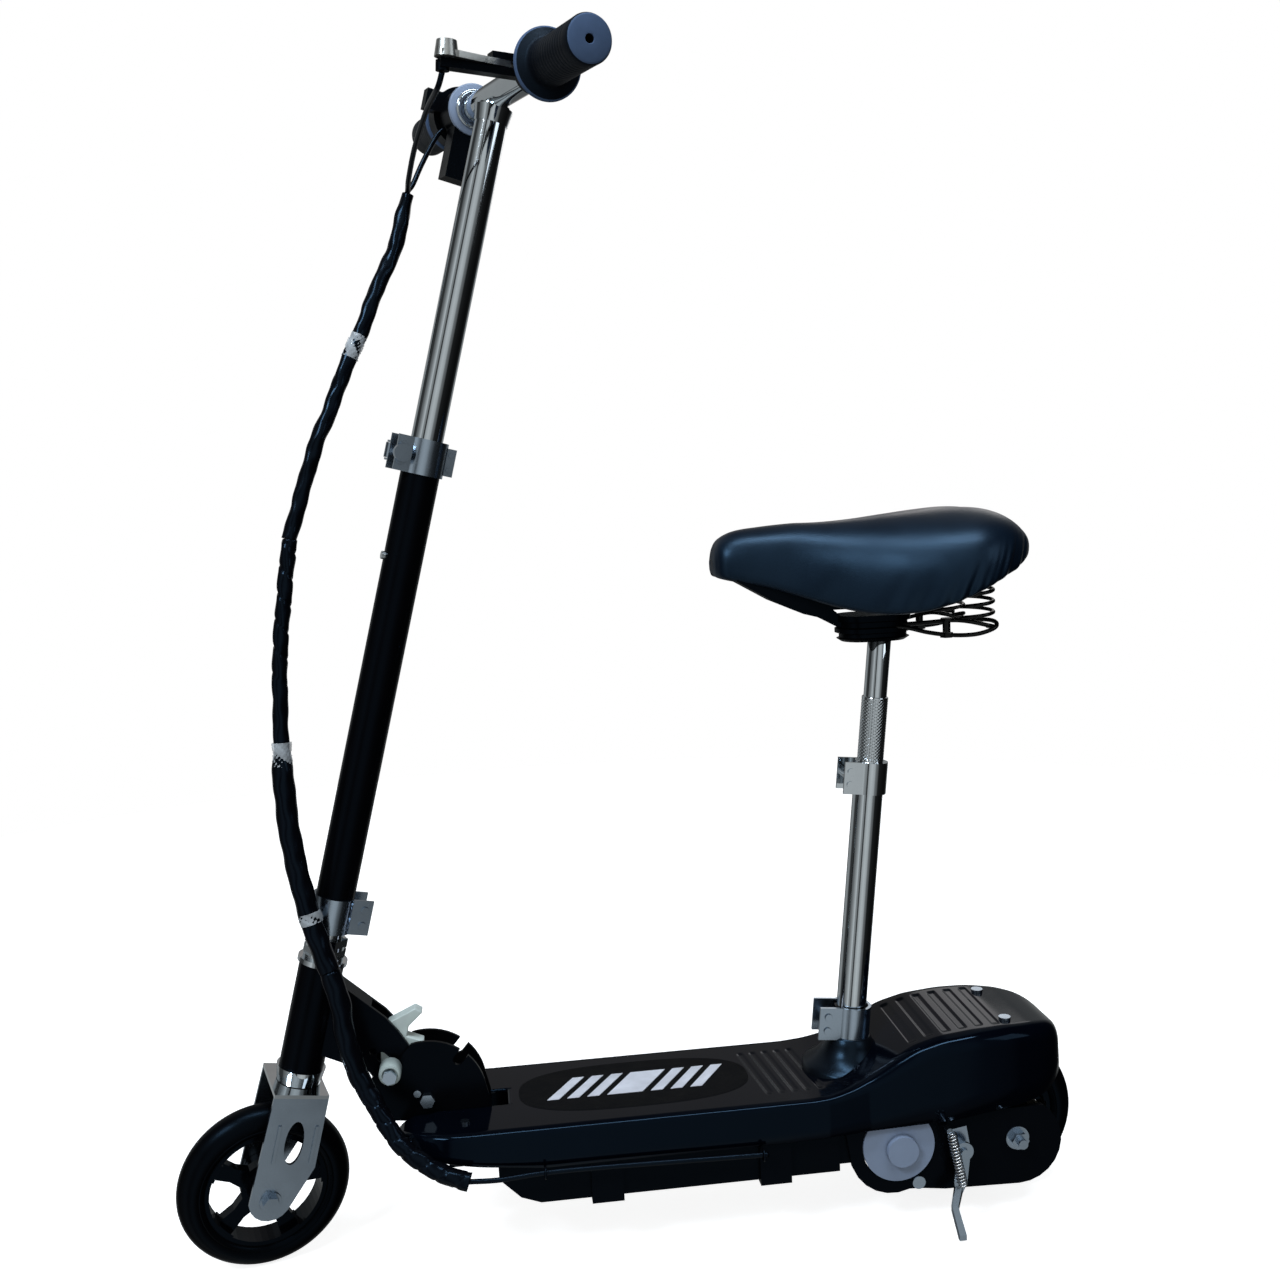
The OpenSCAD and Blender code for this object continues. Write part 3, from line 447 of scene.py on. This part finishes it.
def deck_cover():
    """One glossy moulding: flat deck, hump over the rear wheel, rolled edge and skirt."""
    xs = np.r_[np.linspace(-202, -160, 36), np.arange(-158, 90, 4), np.arange(90, 345, 0.9),
               np.linspace(345, 366.8, 34)]
    verts, faces, columns = [], [], 0
    flat = [-1 + i / FLAT_HALF for i in range(2 * FLAT_HALF + 1)]
    for x in xs:
        half, top, low = cover_half(x), eased(COVER_TOP, x), eased(COVER_SKIRT, x)
        half = max(half, 0.4)
        low = min(low, top - 0.5)
        edge = min(5.5 + 7.5 * ease((x - 150) / 80), half * 0.6, (top - low) * 0.6)
        ring = [(half - 2.4, low + 0.3), (half - 1.0, low), (half + 0.3, low + 1.0)]
        ring += [(half + 0.3 - 1.6 * t, low + 1 + (top - edge - low - 1) * t) for t in (0.33, 0.66)]
        ring += [(half - 1.3 - edge + edge * math.cos(a), top - edge + edge * math.sin(a))
                 for a in np.radians(np.linspace(0, 84, 9))]
        inner = half - 1.3 - edge
        across = []
        for t in flat:
            y = t * max(inner, 0.2)
            if inner > SLOT_HALF + 4:
                column = round(SLOT_HALF / inner * FLAT_HALF)
                y = {-column: -SLOT_HALF, column: SLOT_HALF}.get(round(t * FLAT_HALF), y)
            across.append((y, top + 0.15 - groove_depth(x, y)))
        left = [(-y, z) for y, z in ring]
        right = [(y, z) for y, z in reversed(ring)]
        section = left + across + right
        columns = len(section)
        verts += [(x * MM, y * MM, z * MM) for y, z in section]
    for i in range(len(xs) - 1):
        for k in range(columns - 1):
            a, b = i * columns + k, i * columns + k + 1
            mid_y = (verts[a][1] + verts[b][1]) / 2 / MM
            mid_x = (xs[i] + xs[i + 1]) / 2
            mid_z = (verts[a][2] + verts[b][2]) / 2 / MM
            if mid_x < SLOT_END and abs(mid_y) < SLOT_HALF - 0.1 and mid_z > 100:
                continue
            if mid_x > TYRE_CUT[0] and abs(mid_y) < TYRE_CUT[1] and mid_z < TYRE_CUT[2]:
                continue
            faces.append((a, b, b + columns, a + columns))
    obj = new_mesh("deck_shell", verts, faces, "cover_black")
    mod = obj.modifiers.new("wall", "SOLIDIFY")
    mod.thickness = 0.0026
    mod.offset = 1
    sharpen(obj, 60)
    return finish_piece(obj, "deck", ["deck_cover"])


def seat_boot():
    profile = [(0.0152, -0.030), (0.0175, -0.0295), (0.0192, -0.031), (0.0205, -0.036),
               (0.0232, -0.042), (0.0272, -0.047), (0.0325, -0.0515), (0.0370, -0.0545),
               (0.0385, -0.057), (0.0388, -0.062), (0.0152, -0.062)]
    turned = SEAT @ Matrix.Rotation(math.radians(90), 4, "X")
    obj = lathe("boot", profile, turned, "boot_black", 96)
    sharpen(obj, 50)
    return finish_piece(obj, "deck", ["seat_boot"])


def deck_graphics():
    """Oval non-slip patch with a row of plain slanted bars."""
    z = 0.12275
    centre_x, centre_y, half_x, half_y = -0.003, 0.002, 0.098, 0.043
    bar_near, bar_far, bar_gap, lean = -0.016, 0.022, 0.0068, 0.012
    rim = [(centre_x + half_x * math.cos(a) * (abs(math.cos(a)) + 1e-9) ** -0.25,
            centre_y + half_y * math.sin(a) * (abs(math.sin(a)) + 1e-9) ** -0.25)
           for a in np.linspace(0, 2 * math.pi, 96, endpoint=False)]
    n = len(rim)
    verts = [(x, y, z) for x, y in rim]
    verts += [(centre_x + (x - centre_x) * 0.985, centre_y + (y - centre_y) * 0.97, z + 0.0005)
              for x, y in rim]
    faces = [(k, (k + 1) % n, n + (k + 1) % n, n + k) for k in range(n)]
    faces.append(tuple(range(n, 2 * n)))
    patch = new_mesh("grip_patch", verts, faces, "grip_sticker", smooth=False)
    finish_piece(patch, "deck")
    verts, faces = [], []
    x = -0.066
    for w in (10, 10, 10, 30, 10, 10, 10):
        base = len(verts)
        for dx, y in ((0, bar_near), (w * MM, bar_near), (w * MM, bar_far), (0, bar_far)):
            px = x + dx + lean * (y - 0.003) / 0.019
            verts.append((px, y, z + 0.0004))
            verts.append((px, y, z + 0.0009))
        for k in range(4):
            a, b = base + 2 * k, base + 2 * ((k + 1) % 4)
            faces.append((a, b, b + 1, a + 1))
        faces.append((base + 1, base + 3, base + 5, base + 7))
        x += w * MM + bar_gap
    print_bars = new_mesh("deck_print", verts, faces, "white_print", smooth=False)
    finish_piece(print_bars, "deck")


# ---------- saddle ----------

SADDLE = [  # x, half width, top, lower edge, in millimetres
    (79.5, 9, 566, 554), (81.5, 15, 575.5, 551), (87, 22.5, 582.5, 549), (100, 26.5, 588, 546),
    (122, 30.5, 590.5, 541), (146, 35, 592, 533), (172, 46, 592.5, 524.5), (200, 60, 594, 518.5),
    (228, 74, 596.5, 518.5), (256, 84, 599, 525), (280, 87, 600.3, 535), (299, 81, 599, 543.5),
    (314, 70, 595, 549), (326, 55, 588.5, 554), (335, 40, 580, 558), (340.5, 20, 572, 562)]


def saddle():
    """Soft vinyl saddle: crowned top, side wings, rolled lower edge and gathers at the rear."""
    rng = random.Random(7)
    gathers = [(rng.uniform(262, 332), rng.uniform(1.6, 3.4), rng.uniform(1.0, 2.6))
               for _ in range(15)]
    gathers += [(158, 8, 1.6), (206, 6, 2.4), (229, 8, 3.0), (252, 5, 2.4)]
    knots = np.array([s[0] for s in SADDLE], float)
    table = np.array([s[1:] for s in SADDLE], float)
    t = np.linspace(0, len(knots) - 1, 150)
    smooth = []
    for value in t:
        i = min(int(value), len(knots) - 2)
        f = value - i
        around = (max(i - 1, 0), i, i + 1, min(i + 2, len(knots) - 1))
        smooth.append(curve_between(*(np.r_[knots[j], table[j]] for j in around), f))
    verts = []
    columns = 0
    for x, half, top, low in smooth:
        side_z = low + 7
        section = []
        for a in np.radians(np.linspace(0, 180, 57)):
            c, s = math.cos(a), math.sin(a)
            y = half * math.copysign(abs(c) ** 0.82, c)
            z = side_z + (top - side_z) * abs(s) ** 0.78
            dip = 2.2 * math.exp(-(y / 10) ** 2) * max(0, min(1, (x - 150) / 60))
            section.append([y, z - dip, s])
        under = [(half - 0.8, side_z - 4), (half - 4, low + 0.6), (half - 9, low + 0.3),
                 (half - 13, low + 3), (half * 0.4, low + 9)]
        under = [(max(y, 0.5), z) for y, z in under]
        section += [[-y, z, -1] for y, z in under] + [[y, z, -1] for y, z in reversed(under)]
        columns = len(section)
        for y, z, s in section:
            push = 0.0
            for gx, width, depth in gathers:
                fall = max(0, 1 - abs(z - low - 5) / 30) ** 1.5
                push -= depth * fall * math.exp(-((x - (z - low) * 0.45 - gx) / width) ** 2)
            scale = 1 + push / max(half, 30)
            verts.append((x * MM, y * scale * MM, z * MM))
    faces = bridge(len(smooth), columns)
    faces.append(tuple(range(columns)))
    faces.append(tuple((len(smooth) - 1) * columns + k for k in reversed(range(columns))))
    obj = new_mesh("saddle_skin", verts, faces, "saddle_vinyl")
    mod = obj.modifiers.new("soft", "SUBSURF")
    mod.levels = 1
    mod.render_levels = 1
    return finish_piece(obj, "saddle_top", ["saddle"])


def coil(bottom, top, radius, wire, turns, name, mat):
    """Open wire coil between two points."""
    bottom, top = Vector(bottom), Vector(top)
    along = (top - bottom).normalized()
    side = along.orthogonal().normalized()
    other = along.cross(side)
    points = []
    steps = int(turns * 14)
    for i in range(steps + 1):
        a = 2 * math.pi * turns * i / steps
        out = math.cos(a) * side + math.sin(a) * other
        points.append(bottom.lerp(top, i / steps) + radius * out)
    return sweep(name, points, wire, mat, spacing=0.0022, sides=8)


def saddle_springs():
    for side in (-1, 1):
        name = f"saddle_spring_{'left' if side < 0 else 'right'}"
        foot, top = (0.292, side * 0.034, 0.5066), (0.292, side * 0.034, 0.5355)
        obj = coil(foot, top, 0.0135, 0.0016, 3.2, name, "spring_black")
        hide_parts("saddle_springs")
        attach(obj, "saddle_top")
        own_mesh(obj)


def kickstand_spring():
    top, foot = (0.250, -0.0735, 0.088), (0.259, -0.074, 0.042)
    obj = coil(foot, top, 0.0036, 0.0007, 17, "stand_spring", "spring_steel")
    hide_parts("kickstand_spring")
    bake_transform(obj)


# ---------- cables ----------

HARNESS = [(-149, 45, 869), (-162, 38, 825), (-176, 30, 796), (-191, 25, 761), (-206, 20, 730),
           (-219, 15, 698), (-230, 10, 675), (-246, 5, 629), (-256, 0, 598), (-263, -5, 551),
           (-269, -8, 504), (-272, -12, 441), (-272, -15, 401), (-269, -20, 360),
           (-261, -25, 313), (-253, -29, 281), (-245, -32, 256), (-239, -34, 231),
           (-236, -36, 205), (-230, -38, 178), (-221, -42, 157), (-210, -50, 139),
           (-197, -60, 120), (-182, -66, 108), (-166, -71, 98), (-144, -74, 90)]
BRAKE_ROUTE = [(-66.9, -95, 868), (-66.2, -88, 859), (-62, -50, 852), (-54, 0, 836),
               (-46, 36, 820), (-41, 54, 814.8), (-39, 59, 809)]
THROTTLE_ROUTE = [(-14.4, 84, 876), (-20, 82, 868), (-29, 74, 842), (-35, 66, 822),
                  (-38.5, 63, 815), (-39.5, 60, 809)]
DECK_ROUTE = [(-150, -74, 90.5), (-142, -74, 90), (-120, -72, 88), (-84, -70, 89),
              (-30, -70, 88.5), (97, -70, 85)]


def metres(points):
    return [Vector(p) * MM for p in points]


def wound(base, pitch, depth):
    """Radius of a sleeve wound in a spiral. base and depth are functions of distance."""

    def radius(s, a):
        phase = (a / (2 * math.pi) + s / pitch) % 1.0
        loose = 0.0003 * math.sin(3 * a + 160 * s) + 0.0002 * math.sin(2 * a - 310 * s)
        return base(s) + loose - depth(s) * math.exp(-((phase - 0.5) / 0.07) ** 2)

    return radius


def harness():
    """Sleeved bundle in three pieces, one across each joint that it passes."""
    route = metres(HARNESS)
    upper = wound(lambda s: 0.0045 + 0.0016 * ease(s / 0.02), 0.055, lambda s: 0.0004)
    middle = wound(lambda s: 0.0061 + 0.0024 * ease((s - 0.165) / 0.02), 0.021,
                   lambda s: 0.0012 * (1 - ease((s - 0.08) / 0.06)))
    lower = wound(lambda s: 0.0085 - 0.0012 * ease((s - 0.05) / 0.10), 0.0155,
                  lambda s: 0.0011 * ease((s - 0.06) / 0.06))
    spans = [
        ("harness_upper", route[:9], ("t_bar", "steering"), upper),
        ("harness_middle", route[8:17], ("steering", "neck"), middle),
        ("harness_lower", route[16:], ("neck", "deck"), lower),
    ]
    for name, points, bodies, radius in spans:
        obj = sweep(name, points, radius, "cable_black", spacing=0.0015, sides=22)
        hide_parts("wiring_harness")
        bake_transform(obj)
    tapes = [  # name, stretch of the route, where it starts, length, radius, span that it follows
        ("tape_upper", route[3:6], 0.004, 0.021, 0.0064, spans[0]),
        ("tape_middle", route[11:13], 0.002, 0.020, 0.0072, spans[1]),
        ("tape_lower", route[14:16], 0.010, 0.010, 0.0089, spans[1]),
    ]
    for name, points, start, length, size, (_, followed, bodies, _) in tapes:
        line, at = smooth_route(points, 0.001)
        keep = [Vector(p) for p, s in zip(line, at) if start <= s <= start + length]

        def crumpled(s, a, size=size):
            fold = math.sin(5 * a + 900 * s) * math.sin(3 * a + 400 * s)
            return size + 0.0008 * (fold + math.sin(11 * a - 1500 * s) / 2)

        obj = sweep(name, keep[::4] + [keep[-1]], crumpled, "clear_tape", spacing=0.001, sides=28,
                    caps=False)
        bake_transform(obj)


def thin_cables():
    wire = 0.0021
    for name, route in (("brake_cable", BRAKE_ROUTE), ("throttle_cable", THROTTLE_ROUTE)):
        points = [STEM @ p for p in metres(route)]
        obj = sweep(name, points, wire, "cable_black", sides=12)
        finish_piece(obj, "t_bar", ["bar_cables"])
    obj = sweep("deck_lead", metres(DECK_ROUTE), wire, "cable_black", sides=12)
    finish_piece(obj, "deck", ["deck_cable"])
    for x, z in ((-84, 89), (93, 85)):
        clip = [Vector((x, -70 + 4.4 * math.cos(a), z + 4.4 * math.sin(a))) * MM
                for a in np.radians(np.linspace(20, 340, 13))]
        loop = sweep(f"lead_clip_{'front' if x < 0 else 'rear'}", clip, 0.0011, "cable_black",
                     spacing=0.0012, sides=8)
        finish_piece(loop, "deck")


# ---------- grips ----------


def grip(name, side, body, replaced):
    """Soft grip with shallow rings, a dished end with a hole, and a round flange."""
    start, end = 0.112, 0.193
    profile = [(0.0112, start), (0.0235, start), (0.025, start + 0.0012), (0.025, start + 0.003),
               (0.0238, start + 0.0042), (0.0185, start + 0.0050), (0.0166, start + 0.0070)]
    for k in range(15):
        at = start + 0.010 + k * 0.0046
        profile += [(0.0163, at), (0.0163, at + 0.0038), (0.01622, at + 0.0040),
                    (0.01622, at + 0.0043)]
    profile += [(0.0163, end - 0.0115), (0.0164, end - 0.0025), (0.0156, end - 0.0006),
                (0.0143, end), (0.0034, end - 0.0004), (0.003, end - 0.001), (0.003, end - 0.006),
                (0.0112, end - 0.006)]
    obj = lathe(name, [(r, side * y) for r, y in profile], BAR, "grip_rubber", 96)
    if side < 0:
        obj.data.flip_normals()
    # The end face and flange take the lighter copy of the rubber as painted light; the sides keep
    # the dark rubber.
    obj.data.materials.append(MATS["grip_painted_light"])
    for face in obj.data.polygons:
        reach = side * (BAR.inverted() @ face.center).y
        face.material_index = int(reach > end - 0.0012 or reach < start + 0.0045)
    sharpen(obj, 50)
    return finish_piece(obj, body, replaced)


# ---------- small hardware ----------


def throttle_collar():
    """Grey face of the throttle housing and the chrome ring in front of it."""
    face = lathe("throttle_face", [(0.0112, 0.0572), (0.0190, 0.0572), (0.0203, 0.0580),
                                   (0.0206, 0.0610), (0.0112, 0.0610)], BAR, "motor_grey", 72)
    sharpen(face, 40)
    finish_piece(face, "t_bar")
    ring = lathe("throttle_ring", arc(0.0142, 0.0562, 0.0013, 0, 345, 14), BAR, "chrome", 72)
    finish_piece(ring, "t_bar")


def lock_pieces():
    """White thumb hook between the cheeks, and grey sleeves on the pin's two ends."""
    half_wide, pin_angle, pin_reach = 6.4, math.radians(133), 0.041
    outline = [(-213, 160), (-201, 158), (-197, 168), (-190, 173), (-178, 177), (-176, 180),
               (-190, 186), (-188, 194), (-176, 205), (-182, 209), (-204, 199), (-211, 190)]
    verts = [(x * MM, y * MM, z * MM) for y in (-half_wide, half_wide) for x, z in outline]
    n = len(outline)
    faces = [tuple(range(n)), tuple(range(2 * n - 1, n - 1, -1))]
    faces += [(k, n + k, n + (k + 1) % n, (k + 1) % n) for k in range(n)]
    hook = new_mesh("thumb_hook", verts, faces, "lock_white", smooth=False)
    add_bevel(hook, 0.0011, 3)
    finish_piece(hook, "fold_lock", ["lock_hook"])
    out = Vector((math.cos(pin_angle), 0, math.sin(pin_angle)))
    centre = joint_point("neck_fold") + pin_reach * out
    for side in (-1, 1):
        profile = [(0.0046, 0.0148), (0.0086, 0.0148), (0.0090, 0.0153), (0.0090, 0.0290),
                   (0.0082, 0.0306), (0.0066, 0.0310), (0.0056, 0.0300), (0.0046, 0.0290)]
        obj = lathe(f"pin_sleeve_{'left' if side < 0 else 'right'}",
                    [(r, side * y) for r, y in profile], Matrix.Translation(centre),
                    "lock_sleeve", 56)
        sharpen(obj, 40)
        finish_piece(obj, "fold_lock", ["lock_hook"])


def seat_post():
    """Stepped chrome post with a knurled stretch cut into it."""
    outline = [(0.060, 0.0096), (0.060, 0.0111), (0.2105, 0.0111)]
    outline += [(h, 0.0111) for h in np.linspace(0.211, 0.2625, 110)]
    outline += [(0.263, 0.0111), (0.2646, 0.0110), (0.265, 0.0106), (0.265, 0.0097),
                (0.3298, 0.0097), (0.330, 0.0095), (0.330, 0.0082), (0.264, 0.0082), (0.264, 0.0096)]
    around = 144
    verts = []
    for h, radius in outline:
        for k in range(around):
            a = 2 * math.pi * k / around
            cut = abs(math.sin(12 * a + h * 1100)) * abs(math.sin(12 * a - h * 1100))
            r = radius - 0.0005 * (1 - cut) * (0.2109 < h < 0.2626)
            verts.append(SEAT @ Vector((r * math.cos(a), r * math.sin(a), h)))
    obj = new_mesh("post", verts, bridge(len(outline), around, wrap=True), "chrome")
    sharpen(obj, 50)
    finish_piece(obj, "seat_upper", ["seat_post"])


def saddle_frame():
    """Clamp block under the saddle and the bent wires that run back to the springs."""
    rim = arc(0.2260, 0, 0.0205, -90, 90, 14) + arc(0.2030, 0, 0.0205, 90, 270, 14)
    n = len(rim)
    heights = [0.492, 0.4945, 0.4955, 0.4985, 0.4995, 0.503, 0.504, 0.508, 0.509, 0.514]
    inset = [0.0032, 0.0008, 0.0022, 0.0022, 0.0, 0.0, 0.0016, 0.0016, 0.0, 0.0]
    verts = []
    for z, cut in zip(heights, inset):
        for x, y in rim:
            verts.append((x + (0.2145 - x) * cut / 0.02, y * (1 - cut / 0.02), z))
    faces = [tuple(reversed(range(n))), tuple(range((len(heights) - 1) * n, len(heights) * n))]
    faces += bridge(len(heights), n)
    block = new_mesh("clamp_block", verts, faces, "frame_black")
    sharpen(block, 40)
    finish_piece(block, "seat_upper", ["saddle_clamp"])
    arm = [(0.1900, 0.5110), (0.1900, 0.5010), (0.1500, 0.5230), (0.1340, 0.5340), (0.1340, 0.5460),
           (0.1460, 0.5460)]
    verts = [(x, y, z) for y in (-0.006, 0.006) for x, z in arm]
    faces = [tuple(range(6)), tuple(range(11, 5, -1))]
    faces += [(k, 6 + k, 6 + (k + 1) % 6, (k + 1) % 6) for k in range(6)]
    lug = new_mesh("saddle_arm", verts, faces, "frame_black", smooth=False)
    add_bevel(lug, 0.001, 2)
    finish_piece(lug, "seat_upper", ["saddle_clamp"])
    for side in (-1, 1):
        tag = "left" if side < 0 else "right"
        outer = [(222, 12, 503), (236, 22, 503), (252, 31, 499), (270, 38, 496.5), (288, 44, 497),
                 (303, 44, 501), (307, 38, 505), (303, 28, 506.5), (292, 22, 506)]
        inner = [(222, 8, 506), (238, 14, 505), (256, 24, 506.5), (272, 32, 508), (284, 38, 507),
                 (300, 40, 503), (307, 34, 501), (304, 26, 501)]
        for label, route in (("outer", outer), ("inner", inner)):
            points = [Vector((x, side * y, z)) * MM for x, y, z in route]
            wire = sweep(f"rail_{label}_{tag}", points, 0.0018, "spring_black", sides=10)
            finish_piece(wire, "seat_upper", ["saddle_clamp"])
        upright = Matrix.Rotation(math.radians(90), 4, "X")
        place = Matrix.Translation((0.2665, side * 0.034, 0)) @ upright
        for z0, z1, r, corners in ((0.4945, 0.4985, 0.0055, 6), (0.4990, 0.5090, 0.0032, 24),
                                   (0.5080, 0.5105, 0.0050, 6)):
            bolt = lathe(f"rail_bolt_{tag}_{int(z0 * 10000)}",
                         [(0.0001, z0), (r, z0), (r, z1), (0.0001, z1)],
                         place, "spring_black", corners)
            sharpen(bolt, 30)
            finish_piece(bolt, "seat_upper", ["saddle_clamp"])


# ---------- stage ----------


def floor_material():
    """Pale and glowing to the camera, and clear to every other ray."""
    mat = bpy.data.materials.new("floor")
    mat.use_nodes = True
    tree = mat.node_tree
    shader = tree.nodes["Principled BSDF"]
    shader.inputs["Base Color"].default_value = (0.8, 0.8, 0.8, 1)
    shader.inputs["Roughness"].default_value = 0.9
    shader.inputs["Specular IOR Level"].default_value = 0.1
    shader.inputs["Emission Color"].default_value = (1, 1, 1, 1)
    shader.inputs["Emission Strength"].default_value = FLOOR_GLOW
    clear = tree.nodes.new("ShaderNodeBsdfTransparent")
    path = tree.nodes.new("ShaderNodeLightPath")
    mix = tree.nodes.new("ShaderNodeMixShader")
    tree.links.new(path.outputs["Is Camera Ray"], mix.inputs["Fac"])
    tree.links.new(clear.outputs["BSDF"], mix.inputs[1])
    tree.links.new(shader.outputs["BSDF"], mix.inputs[2])
    tree.links.new(mix.outputs["Shader"], tree.nodes["Material Output"].inputs["Surface"])
    return mat


def floor():
    """Round pale floor."""
    MATS["floor"] = floor_material()
    rim = arc(0, 0, FLOOR_R, 0, 360, 96)[:-1]
    obj = new_mesh("floor", [(x, y, 0) for x, y in rim], [tuple(range(len(rim)))], "floor",
                   smooth=False)


def area_light(name, place, target, size, power, colour=(1, 1, 1)):
    data = bpy.data.lights.new(name, "AREA")
    data.shape = "RECTANGLE"
    data.size, data.size_y = size
    data.energy = power
    data.color = colour
    obj = bpy.data.objects.new(name, data)
    bpy.context.collection.objects.link(obj)
    obj.location = place
    obj.rotation_euler = (Vector(target) - Vector(place)).to_track_quat("-Z", "Y").to_euler()


def studio_world():
    """White to the camera; to reflections, a room of bright and dark upright bands."""
    world = bpy.data.worlds.new("studio")
    bpy.context.scene.world = world
    world.use_nodes = True
    tree = world.node_tree
    tree.nodes.clear()
    out = tree.nodes.new("ShaderNodeOutputWorld")
    mix = tree.nodes.new("ShaderNodeMixShader")
    path = tree.nodes.new("ShaderNodeLightPath")
    plain = tree.nodes.new("ShaderNodeBackground")
    plain.inputs["Color"].default_value = (1, 1, 1, 1)
    room = tree.nodes.new("ShaderNodeBackground")
    coords = tree.nodes.new("ShaderNodeTexCoord")
    radial = tree.nodes.new("ShaderNodeTexGradient")
    radial.gradient_type = "RADIAL"
    tree.links.new(coords.outputs["Generated"], radial.inputs["Vector"])
    bands = tree.nodes.new("ShaderNodeValToRGB")
    stops = [(0.0, 0.10), (0.05, 0.20), (0.095, 0.42), (0.12, 0.62), (0.138, 0.30), (0.162, 0.26),
             (0.174, 0.03), (0.187, 0.03), (0.20, 0.42), (0.25, 0.58), (0.30, 0.46), (0.32, 0.20),
             (0.355, 0.12), (0.375, 0.015), (0.45, 0.008), (0.54, 0.004), (0.61, 0.02),
             (0.65, 0.30), (0.69, 0.30), (0.72, 0.10), (0.79, 0.10), (0.82, 0.30), (0.89, 0.30),
             (0.93, 0.04)]
    elements = bands.color_ramp.elements
    for i, (at, level) in enumerate(stops):
        element = elements[i] if i < 2 else elements.new(at)
        element.position = at
        element.color = (level * 0.96, level, level, 1)
    tree.links.new(radial.outputs["Fac"], bands.inputs["Fac"])
    tree.links.new(bands.outputs["Color"], room.inputs["Color"])
    tree.links.new(path.outputs["Is Camera Ray"], mix.inputs["Fac"])
    tree.links.new(room.outputs["Background"], mix.inputs[1])
    tree.links.new(plain.outputs["Background"], mix.inputs[2])
    tree.links.new(mix.outputs["Shader"], out.inputs["Surface"])


def camera():
    """The photograph's viewpoint: slightly above the deck, turned a little towards the rear."""
    yaw, pitch, roll = (math.radians(a) for a in (-6.8, 6.83, -2.475))
    right = Vector((math.cos(yaw), math.sin(yaw), 0))
    ahead = Vector((-math.sin(yaw), math.cos(yaw), 0))
    down = Vector((0, 0, -1))
    tipped_down = math.cos(pitch) * down - math.sin(pitch) * ahead
    ahead = math.sin(pitch) * down + math.cos(pitch) * ahead
    right, tipped_down = (math.cos(roll) * right - math.sin(roll) * tipped_down,
                          math.sin(roll) * right + math.cos(roll) * tipped_down)
    data = bpy.data.cameras.new("camera")
    data.sensor_width = 36
    data.lens = 38.09
    obj = bpy.data.objects.new("camera", data)
    bpy.context.collection.objects.link(obj)
    obj.matrix_world = axes_matrix(right, -tipped_down, -ahead, Vector((-0.1121, -1.0942, 0.6346)))
    bpy.context.scene.camera = obj


# ---------- making it all ----------

camera()
harness()
thin_cables()
dress_cad_nodes()
tyre("front_tyre_rubber", FRONT_AXLE, "front_wheel", ["front_tyre"])
tyre("rear_tyre_rubber", REAR_AXLE, "rear_wheel", ["rear_tyre"])
deck_cover()
seat_boot()
deck_graphics()
saddle()
saddle_springs()
kickstand_spring()
throttle_collar()
lock_pieces()
seat_post()
saddle_frame()
grip("left_rubber", -1, "t_bar", ["left_grip"])
grip("throttle_rubber", 1, "throttle", ["throttle_grip"])
floor()
studio_world()
area_light("key", (-1.5, -1.6, 2.3), (0, 0, 0.4), (0.8, 0.6), 34, (0.80, 0.90, 1.0))
area_light("fill", (1.8, -1.5, 1.5), (0, 0, 0.4), (1.0, 1.2), 6, (0.85, 0.93, 1.0))
area_light("top", (0.1, -0.6, 2.6), (0, 0, 0.2), (1.6, 0.25), 30, (0.80, 0.90, 1.0))
area_light("window", (1.25, 2.3, 1.3), (0.3, 0, 0.2), (0.9, 0.5), 1.6, (1.0, 0.95, 0.92))
area_light("wall", (0.1, 2.3, 1.3), (0.1, 0, 0.2), (2.4, 0.7), 1.0, (1.0, 0.9, 0.85))
bpy.context.scene.view_settings.view_transform = "Standard"
